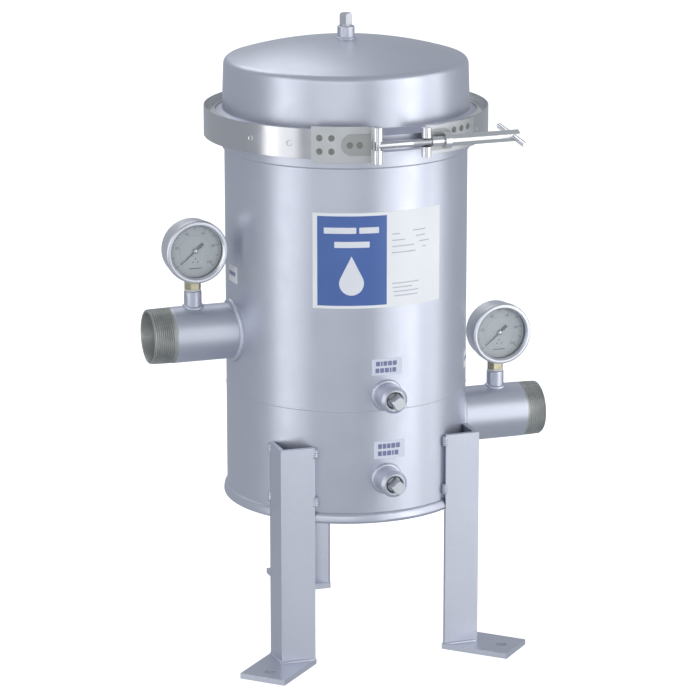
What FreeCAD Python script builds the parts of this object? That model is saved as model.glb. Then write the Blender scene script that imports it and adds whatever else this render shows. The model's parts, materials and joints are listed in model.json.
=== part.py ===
"""Cartridge filter housing: a welded steel pressure vessel on three angle-iron legs, with a domed lid
that a V-section band clamp and a swing bolt hold down, threaded inlet and outlet pipes with a pressure
gauge on each, two plugged drains, a plugged vent, and one pleated cartridge on a tube sheet.

Frame: millimetres, +Z up, origin on the vessel's axis at floor level. The pipes lie along X, with the
inlet towards -X and the outlet towards +X. The drains, the nameplate and the clamp's bolt face -Y.
Azimuths are in degrees about the vessel's axis from -Y, positive towards +X.
"""
import FreeCAD, Part
import math
import os
import re

import Sketcher

Vector = FreeCAD.Vector
Z_AXIS = Vector(0, 0, 1)

SIZES = {
    # vessel
    "shell_radius": 130.2, "shell_wall": 3.0, "bottom_level": 158.6, "bottom_plate": 6.0,
    "rim_radius": 133.8, "rim_lap": 5.4, "seam_level": 282.0, "hub_level": 543.0, "hub_radius": 132.6,
    # bolted joint between vessel and lid
    "joint_level": 571.5, "flange_radius": 146.0, "flange_rim": 7.6, "flange_slope": 20.0,
    "seal_radius": 137.2, "seal_section": 1.8, "groove_half": 2.2,
    # lid
    "lid_base": 584.5, "skirt_radius": 132.4, "skirt_top_radius": 130.65, "knuckle_level": 631.1,
    "knuckle_radius": 8.0, "crown_edge": 125.0, "crown_edge_level": 638.6, "crown_level": 657.5,
    "crown_radius": 422.0, "lid_wall": 3.0,
    # the bottom head's rim, where it laps the shell
    "rim_corner": 2.0, "rim_corner_round": 3.2, "rim_corner_level": 3.4, "rim_face_round": 40.0,
    "rim_taper": 0.5, "rim_lap_start": 1.2, "rim_lap_round": 6.0,
    # vent on the lid
    "vent_radius": 9.2, "vent_bore": 5.5, "vent_foot": 648.0, "vent_top": 671.0,
    "vent_head": 9.5, "vent_head_tall": 13.5, "vent_thread": 15.0, "vent_gap": 0.6, "vent_head_turn": 26.0,
    # pipes, nominal 2 inch
    "pipe_radius": 30.15, "pipe_bore": 26.25, "inlet_level": 348.7, "outlet_level": 230.7,
    "inlet_reach": 223.4, "outlet_reach": 225.1, "pipe_inner_end": 123.0, "pipe_chamfer": 1.2,
    "inlet_thread": 24.9, "outlet_thread": 22.1, "thread_step": 0.3, "coupling_chamfer": 0.8,
    # gauges, nominal 2.5 inch
    "inlet_gauge_place": -173.0, "outlet_gauge_place": 174.8, "socket_radius": 9.5,
    "socket_bore": 6.7, "socket_foot": 26.5, "socket_tall": 20.65, "gauge_rise": 92.5,
    "gauge_ahead": 4.0, "gauge_front": 17.0, "gauge_back": 13.0, "case_radius": 32.3, "case_wall": 1.2,
    "bezel_radius": 34.0, "bezel_deep": 9.5, "bezel_lip": 28.2, "lens_thick": 2.0, "lens_seat": 11.0,
    "dial_level": 6.2, "dial_thick": 0.8, "dial_hole": 1.6, "spindle_radius": 1.2, "spindle_tall": 12.4,
    "case_round": 3.0, "bezel_round": 2.5, "bezel_bevel": 1.8, "tape_thick": 2.0, "tape_wide": 2.4,
    "stem_radius": 6.6, "stem_tall": 16.0, "stem_sunk": 14.0, "neck_radius": 5.5, "neck_tall": 6.0,
    "neck_gap": 0.5, "hex_circle": 9.24, "hex_lap": 0.35, "case_space": 20.0,
    # gauge pointer
    "needle_reach": 21.0, "needle_tail": 11.0, "pointer_rest": 221.0, "needle_thick": 0.6,
    "needle_gap": 1.1, "needle_tip_half": 0.25, "needle_half": 0.9, "tail_start": 4.0,
    "tail_shoulder": 4.6, "tail_half": 1.7, "tail_end_half": 1.5, "hub_disc_radius": 2.6,
    "hub_disc_tall": 1.8, "hub_disc_gap": 0.8,
    # gauge movement: a block and post behind the dial, a Bourdon tube, and the arm that feeds it
    "works_wide": 16.0, "works_tall": 20.0, "works_deep": 8.0, "works_drop": 18.0, "works_back": 6.0,
    "bourdon_radius": 23.0, "bourdon_section": 2.2, "bourdon_level": -2.0, "bourdon_sweep": 250.0,
    "bourdon_turn": -80.0, "post_radius": 4.0, "post_tall": 9.0, "post_back": 4.0,
    "arm_wide": 4.4, "arm_start": 1.8, "arm_tall": 13.0, "arm_deep": 3.0, "arm_back": 3.5,
    "spindle_clearance": 0.05, "spindle_bore_half": 10.0,
    # drains
    "dirty_drain_level": 298.0, "clean_drain_level": 206.5, "drain_radius": 14.3, "drain_bore": 9.0,
    "drain_reach": 156.0, "drain_chamfer": 3.0, "plug_clearance": 0.05, "plug_recess": 2.4,
    "drain_head": 12.0, "drain_head_reach": 13.5, "drain_thread": 14.0, "drain_inner_end": 122.0,
    "dirty_head_turn": 32.0, "clean_head_turn": 41.0,
    # how far the hole cutters reach, from the axis that they cross
    "shell_drill_start": 60.0, "shell_drill_end": 140.0, "pipe_drill_start": 10.0, "pipe_drill_end": 40.0,
    "case_drill_start": -40.0, "case_drill_end": -20.0, "cut_margin": 1.0,
    # legs and feet
    "leg_width": 38.1, "leg_thick": 4.8, "leg_heel": 158.6, "leg_top": 242.0,
    "foot_start": 128.0, "foot_end": 204.5, "foot_width": 52.6, "foot_thick": 6.0,
    "anchor_place": 187.0, "anchor_radius": 5.5, "cope_clearance": 0.2,
    # inside
    "sheet_thick": 6.0, "seat_radius": 36.0, "seat_bore": 30.0, "seat_flange": 60.0,
    "seat_flange_thick": 4.0, "seat_top": 304.0, "gasket_thick": 3.0, "gasket_inner": 38.0,
    "gasket_outer": 58.0, "cap_radius": 89.0, "cap_thick": 9.0, "media_radius": 86.5,
    "media_inner": 50.0, "core_radius": 49.8, "core_wall": 2.0, "media_tall": 222.0,
    "seat_chamfer": 2.0, "cap_clearance": 0.4,
    # clamp
    "closure_turn": 2.2, "band_radius": 152.0, "band_thick": 1.4, "band_half": 15.65,
    "retainer_thick": 2.0, "retainer_lip": 140.0, "retainer_gap": 0.32, "strap_thick": 1.6,
    "left_strap_half": 19.0, "right_strap_half": 15.2, "tongue_half": 11.0, "rounder_place": 150.0,
    "rounder_deep": 20.0, "rounder_reach": 60.0,
    "loop_seat_wide": 5.0, "loop_seat_deep": 2.6, "loop_seat_gap": 0.7,
    "slot_wide": 20.0, "slot_deep": 16.0, "pin_place": 27.0, "pin_line": 157.2, "pin_radius": 3.6,
    "pin_clearance": 0.05, "bolt_radius": 3.97, "bolt_reach": 100.0, "bolt_slot_half": 4.6,
    "left_strap_end": 35.0, "right_strap_end": 39.0, "strap_front": 9.9, "band_front": 11.0,
    "band_rear": 178.0, "retainer_front": 13.0, "retainer_rear": 174.0, "tongue_end": 23.4,
    "hinge_line": 156.6, "hinge_radius": 4.6, "hinge_pin": 2.5, "knuckle_third": 10.0,
    "knuckle_gap": 0.4, "leaf_end": 163.0, "leaf_start": 177.6, "hinge_tab": 8.0, "tab_lift": 0.1,
    "hinge_clearance": 0.05, "pin_overhang": 2.0,
    "collar_start": 32.6, "collar_end": 46.0, "collar_radius": 5.0, "nut_start": 46.3,
    "nut_end": 53.0, "nut_radius": 8.5, "tube_radius": 6.1, "tube_end": 130.2, "tube_bore_end": 112.0,
    "thread_clearance": 0.08, "bar_place": 123.8, "bar_radius": 3.0, "bar_half": 34.0, "bar_lean": 7.5,
    # labels, each from one azimuth to another
    "label_thick": 0.3,
    "nameplate_start": -34.8, "nameplate_end": 29.5, "nameplate_base": 393.3, "nameplate_tall": 101.9,
    "dirty_label_start": -7.3, "dirty_label_end": 7.5, "dirty_label_base": 320.2, "dirty_label_tall": 17.5,
    "clean_label_start": -6.3, "clean_label_end": 9.0, "clean_label_base": 228.8, "clean_label_tall": 19.0,
    "inlet_label_start": -93.0, "inlet_label_end": -82.0, "inlet_label_base": 403.0,
    "inlet_label_tall": 18.0, "outlet_label_start": 58.0, "outlet_label_end": 69.0,
    "outlet_label_base": 303.0, "outlet_label_tall": 18.0,
}

doc = FreeCAD.newDocument("cartridge_filter_housing")
sheet = doc.addObject("Spreadsheet::Sheet", "Sizes")
for row, (alias, size) in enumerate(SIZES.items(), start=1):
    sheet.set(f"A{row}", alias)
    sheet.set(f"B{row}", str(size))
    sheet.setAlias(f"B{row}", alias)
doc.recompute()

nodes = []


def cells(text):
    """An expression over the sheet's aliases, written out for FreeCAD."""
    return re.sub(r"[a-z][a-z_]+", lambda m: f"Sizes.{m[0]}" if m[0] in SIZES else m[0], str(text))


def value(text):
    """What such an expression comes to, as a plain number."""
    result = sheet.evalExpression(cells(text))
    return float(getattr(result, "Value", result))


def bind(thing, **sizes):
    """Binds a feature's properties to the sheet."""
    for name, text in sizes.items():
        thing.setExpression(name, cells(text))
    return thing


def place(thing, x="0", y="0", z="0", rotation=None):
    """Puts a feature at a place that follows the sheet."""
    if rotation is not None:
        thing.Placement = FreeCAD.Placement(Vector(), rotation)
    for axis, text in (("x", x), ("y", y), ("z", z)):
        thing.setExpression(f"Placement.Base.{axis}", cells(text))
    return thing


def turn(degrees, axis=Z_AXIS):
    return FreeCAD.Rotation(axis, degrees)


def node(thing, label):
    """Marks a feature as a finished sub-part."""
    thing.Label = label
    nodes.append(thing)
    return thing


# ---- sketches and PartDesign bodies ----------------------------------------------------------------

def origin_plane(body, role):
    return next(f for f in body.Origin.OriginFeatures if f.Role == role)


def edge_between(start, end, radius, side):
    """A straight edge, or an arc that bulges to the left (1) or right (-1) of the way along it, with the
    numbers of its start and end points. A sketch's arcs run anticlockwise, so a left one is reversed."""
    if radius is None:
        return Part.LineSegment(start, end), (1, 2)
    chord = end - start
    half = chord.Length / 2
    normal = Vector(-chord.y, chord.x, 0).normalize()
    centre = (start + end) / 2 - normal * (side * math.sqrt(radius * radius - half * half))
    first, last, ends = (start, end, (1, 2)) if side < 0 else (end, start, (2, 1))
    angles = [math.atan2(p.y - centre.y, p.x - centre.x) for p in (first, last)]
    return Part.ArcOfCircle(Part.Circle(centre, Z_AXIS, radius), *angles), ends


def outline(body, name, plane, corners):
    """A closed sketch whose corners are bound to the sheet. A corner is (x, y), or (x, y, radius, side)
    where the edge that leaves it is an arc."""
    sketch = body.newObject("Sketcher::SketchObject", name)
    sketch.AttachmentSupport = [(origin_plane(body, plane), "")]
    sketch.MapMode = "FlatFace"
    points = [Vector(value(c[0]), value(c[1]), 0) for c in corners]
    count = len(corners)
    ends = []
    for i, corner in enumerate(corners):
        radius, side = (value(corner[2]), corner[3]) if len(corner) == 4 else (None, 0)
        edge, numbers = edge_between(points[i], points[(i + 1) % count], radius, side)
        sketch.addGeometry(edge)
        ends.append(numbers)
    for i in range(count):
        after = (i + 1) % count
        sketch.addConstraint(Sketcher.Constraint("Coincident", i, ends[i][1], after, ends[after][0]))
    for i, corner in enumerate(corners):
        places = (("DistanceX", corner[0], points[i].x), ("DistanceY", corner[1], points[i].y))
        for kind, text, number in places:
            at = sketch.addConstraint(Sketcher.Constraint(kind, -1, 1, i, ends[i][0], number))
            sketch.setExpression(f"Constraints[{at}]", cells(text))
        if len(corner) == 4:
            at = sketch.addConstraint(Sketcher.Constraint("Radius", i, value(corner[2])))
            sketch.setExpression(f"Constraints[{at}]", cells(corner[2]))
    return sketch


def revolved(name, corners, sweep=None):
    """A body turned about its own Z from an outline of (radius, height) corners."""
    body = doc.addObject("PartDesign::Body", name)
    sketch = outline(body, f"{name}_outline", "XZ_Plane", corners)
    feature = body.newObject("PartDesign::Revolution", f"{name}_turned")
    feature.Profile = sketch
    feature.ReferenceAxis = (sketch, ["V_Axis"])
    feature.Angle = 360 if sweep is None else value(sweep)
    if sweep is not None:
        bind(feature, Angle=sweep)
    return body


def ring(name, inner, outer, base, top):
    """A plain turned ring."""
    return revolved(name, [(inner, base), (outer, base), (outer, top), (inner, top)])


def disc(name, radius, base, top):
    return revolved(name, [("0", base), (radius, base), (radius, top), ("0", top)])


def padded(name, plane, corners, length):
    """A body made by padding an outline."""
    body = doc.addObject("PartDesign::Body", name)
    sketch = outline(body, f"{name}_outline", plane, corners)
    feature = body.newObject("PartDesign::Pad", f"{name}_pad")
    feature.Profile = sketch
    bind(feature, Length=length)
    return body


# ---- Part primitives and booleans ------------------------------------------------------------------

def cylinder(name, radius, height, x="0", y="0", z="0", rotation=None, sweep=None):
    thing = bind(doc.addObject("Part::Cylinder", name), Radius=radius, Height=height)
    if sweep is not None:
        bind(thing, Angle=sweep)
    return place(thing, x, y, z, rotation)


def box(name, length, width, height, x="0", y="0", z="0", rotation=None):
    thing = bind(doc.addObject("Part::Box", name), Length=length, Width=width, Height=height)
    return place(thing, x, y, z, rotation)


def cut(name, base, tool):
    thing = doc.addObject("Part::Cut", name)
    thing.Base = base
    thing.Tool = tool
    return thing


def fuse(name, *shapes):
    thing = doc.addObject("Part::MultiFuse", name)
    thing.Shapes = list(shapes)
    return thing


def common(name, base, tool):
    thing = doc.addObject("Part::Common", name)
    thing.Base = base
    thing.Tool = tool
    return thing


def group(name, *shapes):
    """Separate solids that share one node."""
    thing = doc.addObject("Part::Compound", name)
    thing.Links = list(shapes)
    return thing


def drilled(name, base, radius, start, end, direction, x="0", y="0", z="0"):
    """A base with one round hole, from start to end along a direction from the given place."""
    along = FreeCAD.Rotation(Z_AXIS, direction)
    tool = cylinder(f"{name}_drill", radius, f"({end}) - ({start})", rotation=along)
    place(tool, f"({x}) + ({direction.x}) * ({start})", f"({y}) + ({direction.y}) * ({start})",
          f"({z}) + ({direction.z}) * ({start})")
    return cut(name, base, tool)


LEFT = Vector(-1, 0, 0)
RIGHT = Vector(1, 0, 0)
FRONT = Vector(0, -1, 0)
UP = Vector(0, 0, 1)


# ---- vessel ----------------------------------------------------------------------------------------

def make_vessel():
    inner = "shell_radius - shell_wall"
    plate_top = "bottom_level + bottom_plate"
    wall = ("shell_drill_start", "shell_drill_end")
    node(revolved("bottom_head", [
        ("0", "bottom_level"),
        ("rim_radius - rim_corner", "bottom_level", "rim_corner_round", -1),
        ("rim_radius", "bottom_level + rim_corner_level", "rim_face_round", -1),
        ("rim_radius - rim_taper", f"{plate_top} + rim_lap_start", "rim_lap_round", -1),
        ("shell_radius", f"{plate_top} + rim_lap"),
        ("shell_radius", plate_top),
        ("0", plate_top),
    ]), "bottom_head")

    lower = ring("lower_shell_ring", inner, "shell_radius", plate_top, "seam_level")
    lower = drilled("lower_shell_outlet", lower, "pipe_radius", *wall, RIGHT, z="outlet_level")
    lower = drilled("lower_shell", lower, "drain_radius", *wall, FRONT, z="clean_drain_level")
    node(lower, "lower_shell")

    upper = ring("upper_shell_ring", inner, "shell_radius", "seam_level", "hub_level")
    upper = drilled("upper_shell_inlet", upper, "pipe_radius", *wall, LEFT, z="inlet_level")
    upper = drilled("upper_shell", upper, "drain_radius", *wall, FRONT, z="dirty_drain_level")
    node(upper, "upper_shell")

    node(ring("tube_sheet", "seat_radius", inner, "seam_level - sheet_thick", "seam_level"), "tube_sheet")

    slope = "(flange_radius - hub_radius) * tan(flange_slope)"
    node(revolved("body_flange", [
        (inner, "hub_level"),
        ("hub_radius", "hub_level"),
        ("hub_radius", f"joint_level - flange_rim - {slope}"),
        ("flange_radius", "joint_level - flange_rim"),
        ("flange_radius", "joint_level"),
        ("seal_radius + groove_half", "joint_level"),
        ("seal_radius + groove_half", "joint_level - 2 * seal_section"),
        ("seal_radius - groove_half", "joint_level - 2 * seal_section"),
        ("seal_radius - groove_half", "joint_level"),
        (inner, "joint_level"),
    ]), "body_flange")

    seal = bind(doc.addObject("Part::Torus", "closure_o_ring"), Radius1="seal_radius", Radius2="seal_section")
    place(seal, z="joint_level - seal_section")
    node(seal, "closure_o_ring")


def make_lid():
    slope = "(flange_radius - skirt_radius) * tan(flange_slope)"
    node(revolved("lid_flange", [
        ("shell_radius - shell_wall", "joint_level"),
        ("flange_radius", "joint_level"),
        ("flange_radius", "joint_level + flange_rim"),
        ("skirt_radius", f"joint_level + flange_rim + {slope}"),
        ("skirt_radius", "lid_base"),
        ("shell_radius - shell_wall", "lid_base"),
    ]), "lid_flange")

    # The knuckle's centre, from which its inner arc is struck.
    lean = math.degrees(math.asin(value("crown_edge / crown_radius")))
    inner_edge = f"crown_edge - lid_wall * sin({lean})"
    inner_edge_level = f"crown_edge_level - lid_wall * cos({lean})"
    node(revolved("lid_head", [
        ("skirt_radius", "lid_base"),
        ("skirt_top_radius", "knuckle_level", "knuckle_radius", -1),
        ("crown_edge", "crown_edge_level", "crown_radius", -1),
        ("vent_radius", "crown_level - crown_radius + sqrt(crown_radius ^ 2 - vent_radius ^ 2)"),
        ("vent_radius",
         "crown_level - crown_radius + sqrt((crown_radius - lid_wall) ^ 2 - vent_radius ^ 2)",
         "crown_radius - lid_wall", 1),
        (inner_edge, inner_edge_level, "knuckle_radius - lid_wall", 1),
        ("skirt_top_radius - lid_wall", "knuckle_level"),
        ("skirt_radius - lid_wall", "lid_base"),
    ]), "lid_head")

    node(revolved("vent_coupling", [
        ("vent_bore", "vent_foot"),
        ("vent_radius", "vent_foot"),
        ("vent_radius", "vent_top - coupling_chamfer"),
        ("vent_radius - coupling_chamfer", "vent_top"),
        ("vent_bore", "vent_top"),
    ]), "vent_coupling")
    thread = cylinder("vent_plug_thread", "vent_bore - plug_clearance", "vent_thread + 2 * vent_gap",
                      z="vent_top - vent_thread")
    head = square_head("vent_plug_head", "vent_head", "vent_head_tall - vent_gap",
                       turn(value("vent_head_turn")))
    place(head, z="vent_top + vent_gap")
    node(fuse("vent_plug", thread, head), "vent_plug")


def square_head(name, across, tall, rotation):
    """A plug's square head about its own Z, with its top corners rounded off by a cone."""
    block = box(f"{name}_block", across, across, tall, f"-({across}) / 2", f"-({across}) / 2")
    cone = bind(doc.addObject("Part::Cone", f"{name}_dome"), Radius1=f"({across}) * 0.5 + ({tall}) * 0.8",
                Radius2=f"({across}) * 0.56", Height=tall)
    thing = common(name, block, cone)
    thing.Placement = FreeCAD.Placement(Vector(), rotation)
    return thing


# ---- pipes, couplings and drains -------------------------------------------------------------------

def make_pipe(label, side, level, reach, thread, gauge_place):
    """A pipe nipple along X with a threaded end, drilled on top for its gauge's coupling."""
    body = revolved(f"{label}_tube", [
        ("pipe_bore", "pipe_inner_end"),
        ("pipe_radius", "pipe_inner_end"),
        ("pipe_radius", f"{reach} - {thread}"),
        ("pipe_radius - thread_step", f"{reach} - {thread}"),
        ("pipe_radius - thread_step", f"{reach} - pipe_chamfer"),
        ("pipe_radius - thread_step - pipe_chamfer", reach),
        ("pipe_bore + pipe_chamfer / 2", reach),
        ("pipe_bore", f"{reach} - pipe_chamfer"),
    ])
    place(body, z=level, rotation=FreeCAD.Rotation(Z_AXIS, Vector(side, 0, 0)))
    node(drilled(label, body, "socket_radius", "pipe_drill_start", "pipe_drill_end", UP,
                 x=gauge_place, z=level), label)


def make_pipes():
    make_pipe("inlet_pipe", -1, "inlet_level", "inlet_reach", "inlet_thread", "inlet_gauge_place")
    make_pipe("outlet_pipe", 1, "outlet_level", "outlet_reach", "outlet_thread", "outlet_gauge_place")
    couplings = []
    for name, x, level in (("inlet", "inlet_gauge_place", "inlet_level"),
                           ("outlet", "outlet_gauge_place", "outlet_level")):
        body = revolved(f"{name}_gauge_coupling", [
            ("socket_bore", "0"),
            ("socket_radius", "0"),
            ("socket_radius", "socket_tall - coupling_chamfer"),
            ("socket_radius - coupling_chamfer", "socket_tall"),
            ("socket_bore", "socket_tall"),
        ])
        couplings.append(place(body, x=x, z=f"{level} + socket_foot"))
    node(group("gauge_couplings", *couplings), "gauge_couplings")


def make_drains():
    """Two half couplings through the front of the shell, each with a square-headed plug."""
    couplings = []
    for name in ("dirty", "clean"):
        level = f"{name}_drain_level"
        body = revolved(f"{name}_drain_coupling", [
            ("drain_bore", "drain_inner_end"),
            ("drain_radius", "drain_inner_end"),
            ("drain_radius", "drain_reach - drain_chamfer"),
            ("drain_radius - drain_chamfer", "drain_reach"),
            ("drain_bore + coupling_chamfer", "drain_reach"),
            ("drain_bore", "drain_reach - coupling_chamfer"),
        ])
        facing = FreeCAD.Rotation(Z_AXIS, FRONT)
        couplings.append(place(body, z=level, rotation=facing))
        thread = cylinder(f"{name}_plug_thread", "drain_bore - plug_clearance", "drain_thread")
        head = square_head(f"{name}_plug_head", "drain_head", "drain_head_reach + plug_recess",
                           turn(value(f"{name}_head_turn")))
        place(head, z="drain_thread")
        plug = fuse(f"{name}_drain_plug", thread, head)
        place(plug, y="-(drain_reach - plug_recess - drain_thread)", z=level, rotation=facing)
        node(plug, f"{name}_drain_plug")
    node(group("drain_couplings", *couplings), "drain_couplings")


# ---- legs and feet ---------------------------------------------------------------------------------

LEGS = {"front_left": -45.0, "front_right": 45.0, "rear": 180.0}


def make_legs():
    """Angle irons with the heel outwards, coped round the bottom rim, each on a drilled foot plate."""
    run = "leg_width / sqrt(2)"
    back = "(leg_width + leg_thick) / sqrt(2)"
    side = "(leg_width - leg_thick) / sqrt(2)"
    for name, azimuth in LEGS.items():
        facing = turn(azimuth - 90)
        leg = padded(f"leg_{name}_iron", "XY_Plane", [
            ("leg_heel", "0"),
            (f"leg_heel - {run}", run),
            (f"leg_heel - {back}", side),
            ("leg_heel - leg_thick * sqrt(2)", "0"),
            (f"leg_heel - {back}", f"-({side})"),
            (f"leg_heel - {run}", f"-({run})"),
        ], "leg_top - foot_thick")
        place(leg, z="foot_thick", rotation=facing)
        rim = cylinder(f"leg_{name}_rim_space", "rim_radius + cope_clearance",
                       "bottom_plate + rim_lap + 2 * cut_margin", z="bottom_level - cut_margin")
        node(cut(f"leg_{name}_coped", leg, rim), f"leg_{name}")

        plate = box(f"foot_{name}_plate", "foot_end - foot_start", "foot_width", "foot_thick",
                    "foot_start", "-foot_width / 2")
        hole = cylinder(f"foot_{name}_hole", "anchor_radius", "foot_thick + 2 * cut_margin",
                        x="anchor_place", z="-cut_margin")
        foot = cut(f"foot_{name}", plate, hole)
        foot.Placement = FreeCAD.Placement(Vector(), facing)
        node(foot, f"foot_{name}")


# ---- cartridge and its seat ------------------------------------------------------------------------

def make_cartridge():
    node(revolved("cartridge_seat", [
        ("seat_bore", "seam_level - sheet_thick"),
        ("seat_radius", "seam_level - sheet_thick"),
        ("seat_radius", "seam_level"),
        ("seat_flange", "seam_level"),
        ("seat_flange", "seam_level + seat_flange_thick"),
        ("seat_radius", "seam_level + seat_flange_thick"),
        ("seat_radius", "seat_top - seat_chamfer"),
        ("seat_radius - seat_chamfer", "seat_top"),
        ("seat_bore", "seat_top"),
    ]), "cartridge_seat")
    gasket = "seam_level + seat_flange_thick"
    cap = f"{gasket} + gasket_thick"
    media = f"{cap} + cap_thick"
    top = f"{media} + media_tall"
    node(ring("cartridge_gasket", "gasket_inner", "gasket_outer", gasket, cap), "cartridge_gasket")
    node(ring("cartridge_bottom_cap", "seat_radius + cap_clearance", "cap_radius", cap, media),
         "cartridge_bottom_cap")
    node(ring("cartridge_media", "media_inner", "media_radius", media, top), "cartridge_media")
    node(ring("cartridge_core", "core_radius - core_wall", "core_radius", media, top), "cartridge_core")
    node(disc("cartridge_top_cap", "cap_radius", top, f"{top} + cap_thick"), "cartridge_top_cap")


# ---- gauges ----------------------------------------------------------------------------------------

DIAL_FACING = FreeCAD.Rotation(Vector(1, 0, 0), 90)


def make_gauge(side, x, pipe_level):
    """One gauge. Its case, lens and dial are turned about the dial's axis, which faces the front and
    stands a little ahead of the stem's own axis."""
    level = f"{pipe_level} + gauge_rise"

    def faced(thing):
        return place(thing, x=x, y="-gauge_ahead", z=level, rotation=DIAL_FACING)

    cup = faced(revolved(f"{side}_gauge_cup", [
        ("0", "-gauge_back"),
        ("case_radius - case_round", "-gauge_back", "case_round", -1),
        ("case_radius", "-gauge_back + case_round"),
        ("case_radius", "lens_seat"),
        ("case_radius - case_wall", "lens_seat"),
        ("case_radius - case_wall", "-gauge_back + case_wall"),
        ("0", "-gauge_back + case_wall"),
    ]))
    node(drilled(f"{side}_gauge_case", cup, "neck_radius", "case_drill_start", "case_drill_end", UP,
                 x=x, z=level), f"{side}_gauge_case")

    node(faced(revolved(f"{side}_gauge_bezel", [
        ("case_radius", "gauge_front - bezel_deep"),
        ("bezel_radius", "gauge_front - bezel_deep"),
        ("bezel_radius", "gauge_front - bezel_round", "bezel_round", -1),
        ("bezel_radius - bezel_round", "gauge_front"),
        ("bezel_lip + bezel_bevel", "gauge_front"),
        ("bezel_lip", "gauge_front - bezel_bevel"),
        ("bezel_lip", "lens_seat + lens_thick"),
        ("case_radius", "lens_seat + lens_thick"),
    ])), f"{side}_gauge_bezel")
    node(faced(disc(f"{side}_gauge_lens", "case_radius", "lens_seat", "lens_seat + lens_thick")),
         f"{side}_gauge_lens")
    node(faced(ring(f"{side}_gauge_dial", "dial_hole", "case_radius - case_wall", "dial_level",
                    "dial_level + dial_thick")), f"{side}_gauge_dial")

    stem = cylinder(f"{side}_stem", "stem_radius", "stem_tall", z="socket_foot + socket_tall - stem_sunk")
    hexagon = bind(doc.addObject("Part::Prism", f"{side}_hex"), Circumradius="hex_circle",
                   Height="gauge_rise - case_radius - socket_foot - socket_tall - tape_thick + hex_lap")
    place(hexagon, z="socket_foot + socket_tall + tape_thick")
    neck = cylinder(f"{side}_neck", "neck_radius", "neck_tall", z="gauge_rise - bezel_radius - neck_gap")
    trimmed = cylinder(f"{side}_case_space", "bezel_radius", "2 * case_space", y="case_space",
                       z="gauge_rise", rotation=DIAL_FACING)
    spanner_part = cut(f"{side}_hex_under_case", hexagon, trimmed)
    socket = fuse(f"{side}_gauge_socket", stem, spanner_part, neck)
    node(place(socket, x=x, z=pipe_level), f"{side}_gauge_socket")

    block = box(f"{side}_movement_block", "works_wide", "works_tall", "works_deep",
                "-works_wide / 2", "-works_drop", "-works_back")
    tube = bind(doc.addObject("Part::Torus", f"{side}_bourdon_tube"), Radius1="bourdon_radius",
                Radius2="bourdon_section", Angle3="bourdon_sweep")
    place(tube, z="bourdon_level", rotation=turn(value("bourdon_turn")))
    post = cylinder(f"{side}_dial_post", "post_radius", "post_tall", z="-post_back")
    arm = box(f"{side}_movement_arm", "arm_wide", "arm_tall", "arm_deep",
              "arm_start", "neck_tall - bezel_radius - neck_gap", "-arm_back")
    works = fuse(f"{side}_movement_solid", block, tube, post, arm)
    bore = cylinder(f"{side}_movement_bore", "spindle_radius + spindle_clearance", "2 * spindle_bore_half",
                    z="-spindle_bore_half")
    node(faced(cut(f"{side}_gauge_movement", works, bore)), f"{side}_gauge_movement")

    spindle = cylinder(f"{side}_spindle", "spindle_radius", "spindle_tall", z="-post_back")
    hub = cylinder(f"{side}_hub", "hub_disc_radius", "hub_disc_tall",
                   z="dial_level + dial_thick + hub_disc_gap")
    upper_edge = [
        ("needle_reach", "needle_tip_half"),
        ("0", "needle_half"),
        ("-tail_start", "needle_half"),
        ("-tail_shoulder", "tail_half"),
        ("-needle_tail", "tail_end_half"),
    ]
    lower_edge = [(x_text, f"-{y_text}") for x_text, y_text in reversed(upper_edge)]
    needle = padded(f"{side}_needle", "XY_Plane", upper_edge + lower_edge, "needle_thick")
    place(needle, z="dial_level + dial_thick + needle_gap")
    pointer = fuse(f"{side}_gauge_pointer", spindle, hub, needle)
    rest = turn(value("pointer_rest"))
    place(pointer, x=x, y="-gauge_ahead", z=level, rotation=DIAL_FACING.multiply(rest))
    node(pointer, f"{side}_gauge_pointer")


def make_gauges():
    tapes = []
    for side, x, level in (("inlet", "inlet_gauge_place", "inlet_level"),
                           ("outlet", "outlet_gauge_place", "outlet_level")):
        make_gauge(side, x, level)
        tape = ring(f"{side}_tape", "stem_radius", "stem_radius + tape_wide", "0", "tape_thick")
        tapes.append(place(tape, x=x, z=f"{level} + socket_foot + socket_tall"))
    node(group("thread_tape", *tapes), "thread_tape")


# ---- clamp -----------------------------------------------------------------------------------------

def arc_plate(name, inner, outer, half, start, end):
    """A piece of a hoop about the vessel's axis at the joint's level, between two azimuths."""
    facing = turn(value(start) - 90)
    sweep = f"({end}) - ({start})"
    out = cylinder(f"{name}_outer", outer, f"2 * ({half})", rotation=facing, sweep=sweep,
                   z=f"joint_level - ({half})")
    core = cylinder(f"{name}_inner", inner, f"2 * ({half} + cut_margin)",
                    z=f"joint_level - ({half}) - cut_margin")
    return cut(name, out, core)


def clamped(thing, label):
    """A clamp piece, turned with the whole clamp to where its bolt sits."""
    place(thing, rotation=turn(value("closure_turn")))
    return node(thing, label)


def mirrored_span(side, near, far):
    """The azimuths of a span on the left (-1) or right (1) half."""
    return (near, far) if side > 0 else (f"-({far})", f"-({near})")


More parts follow.
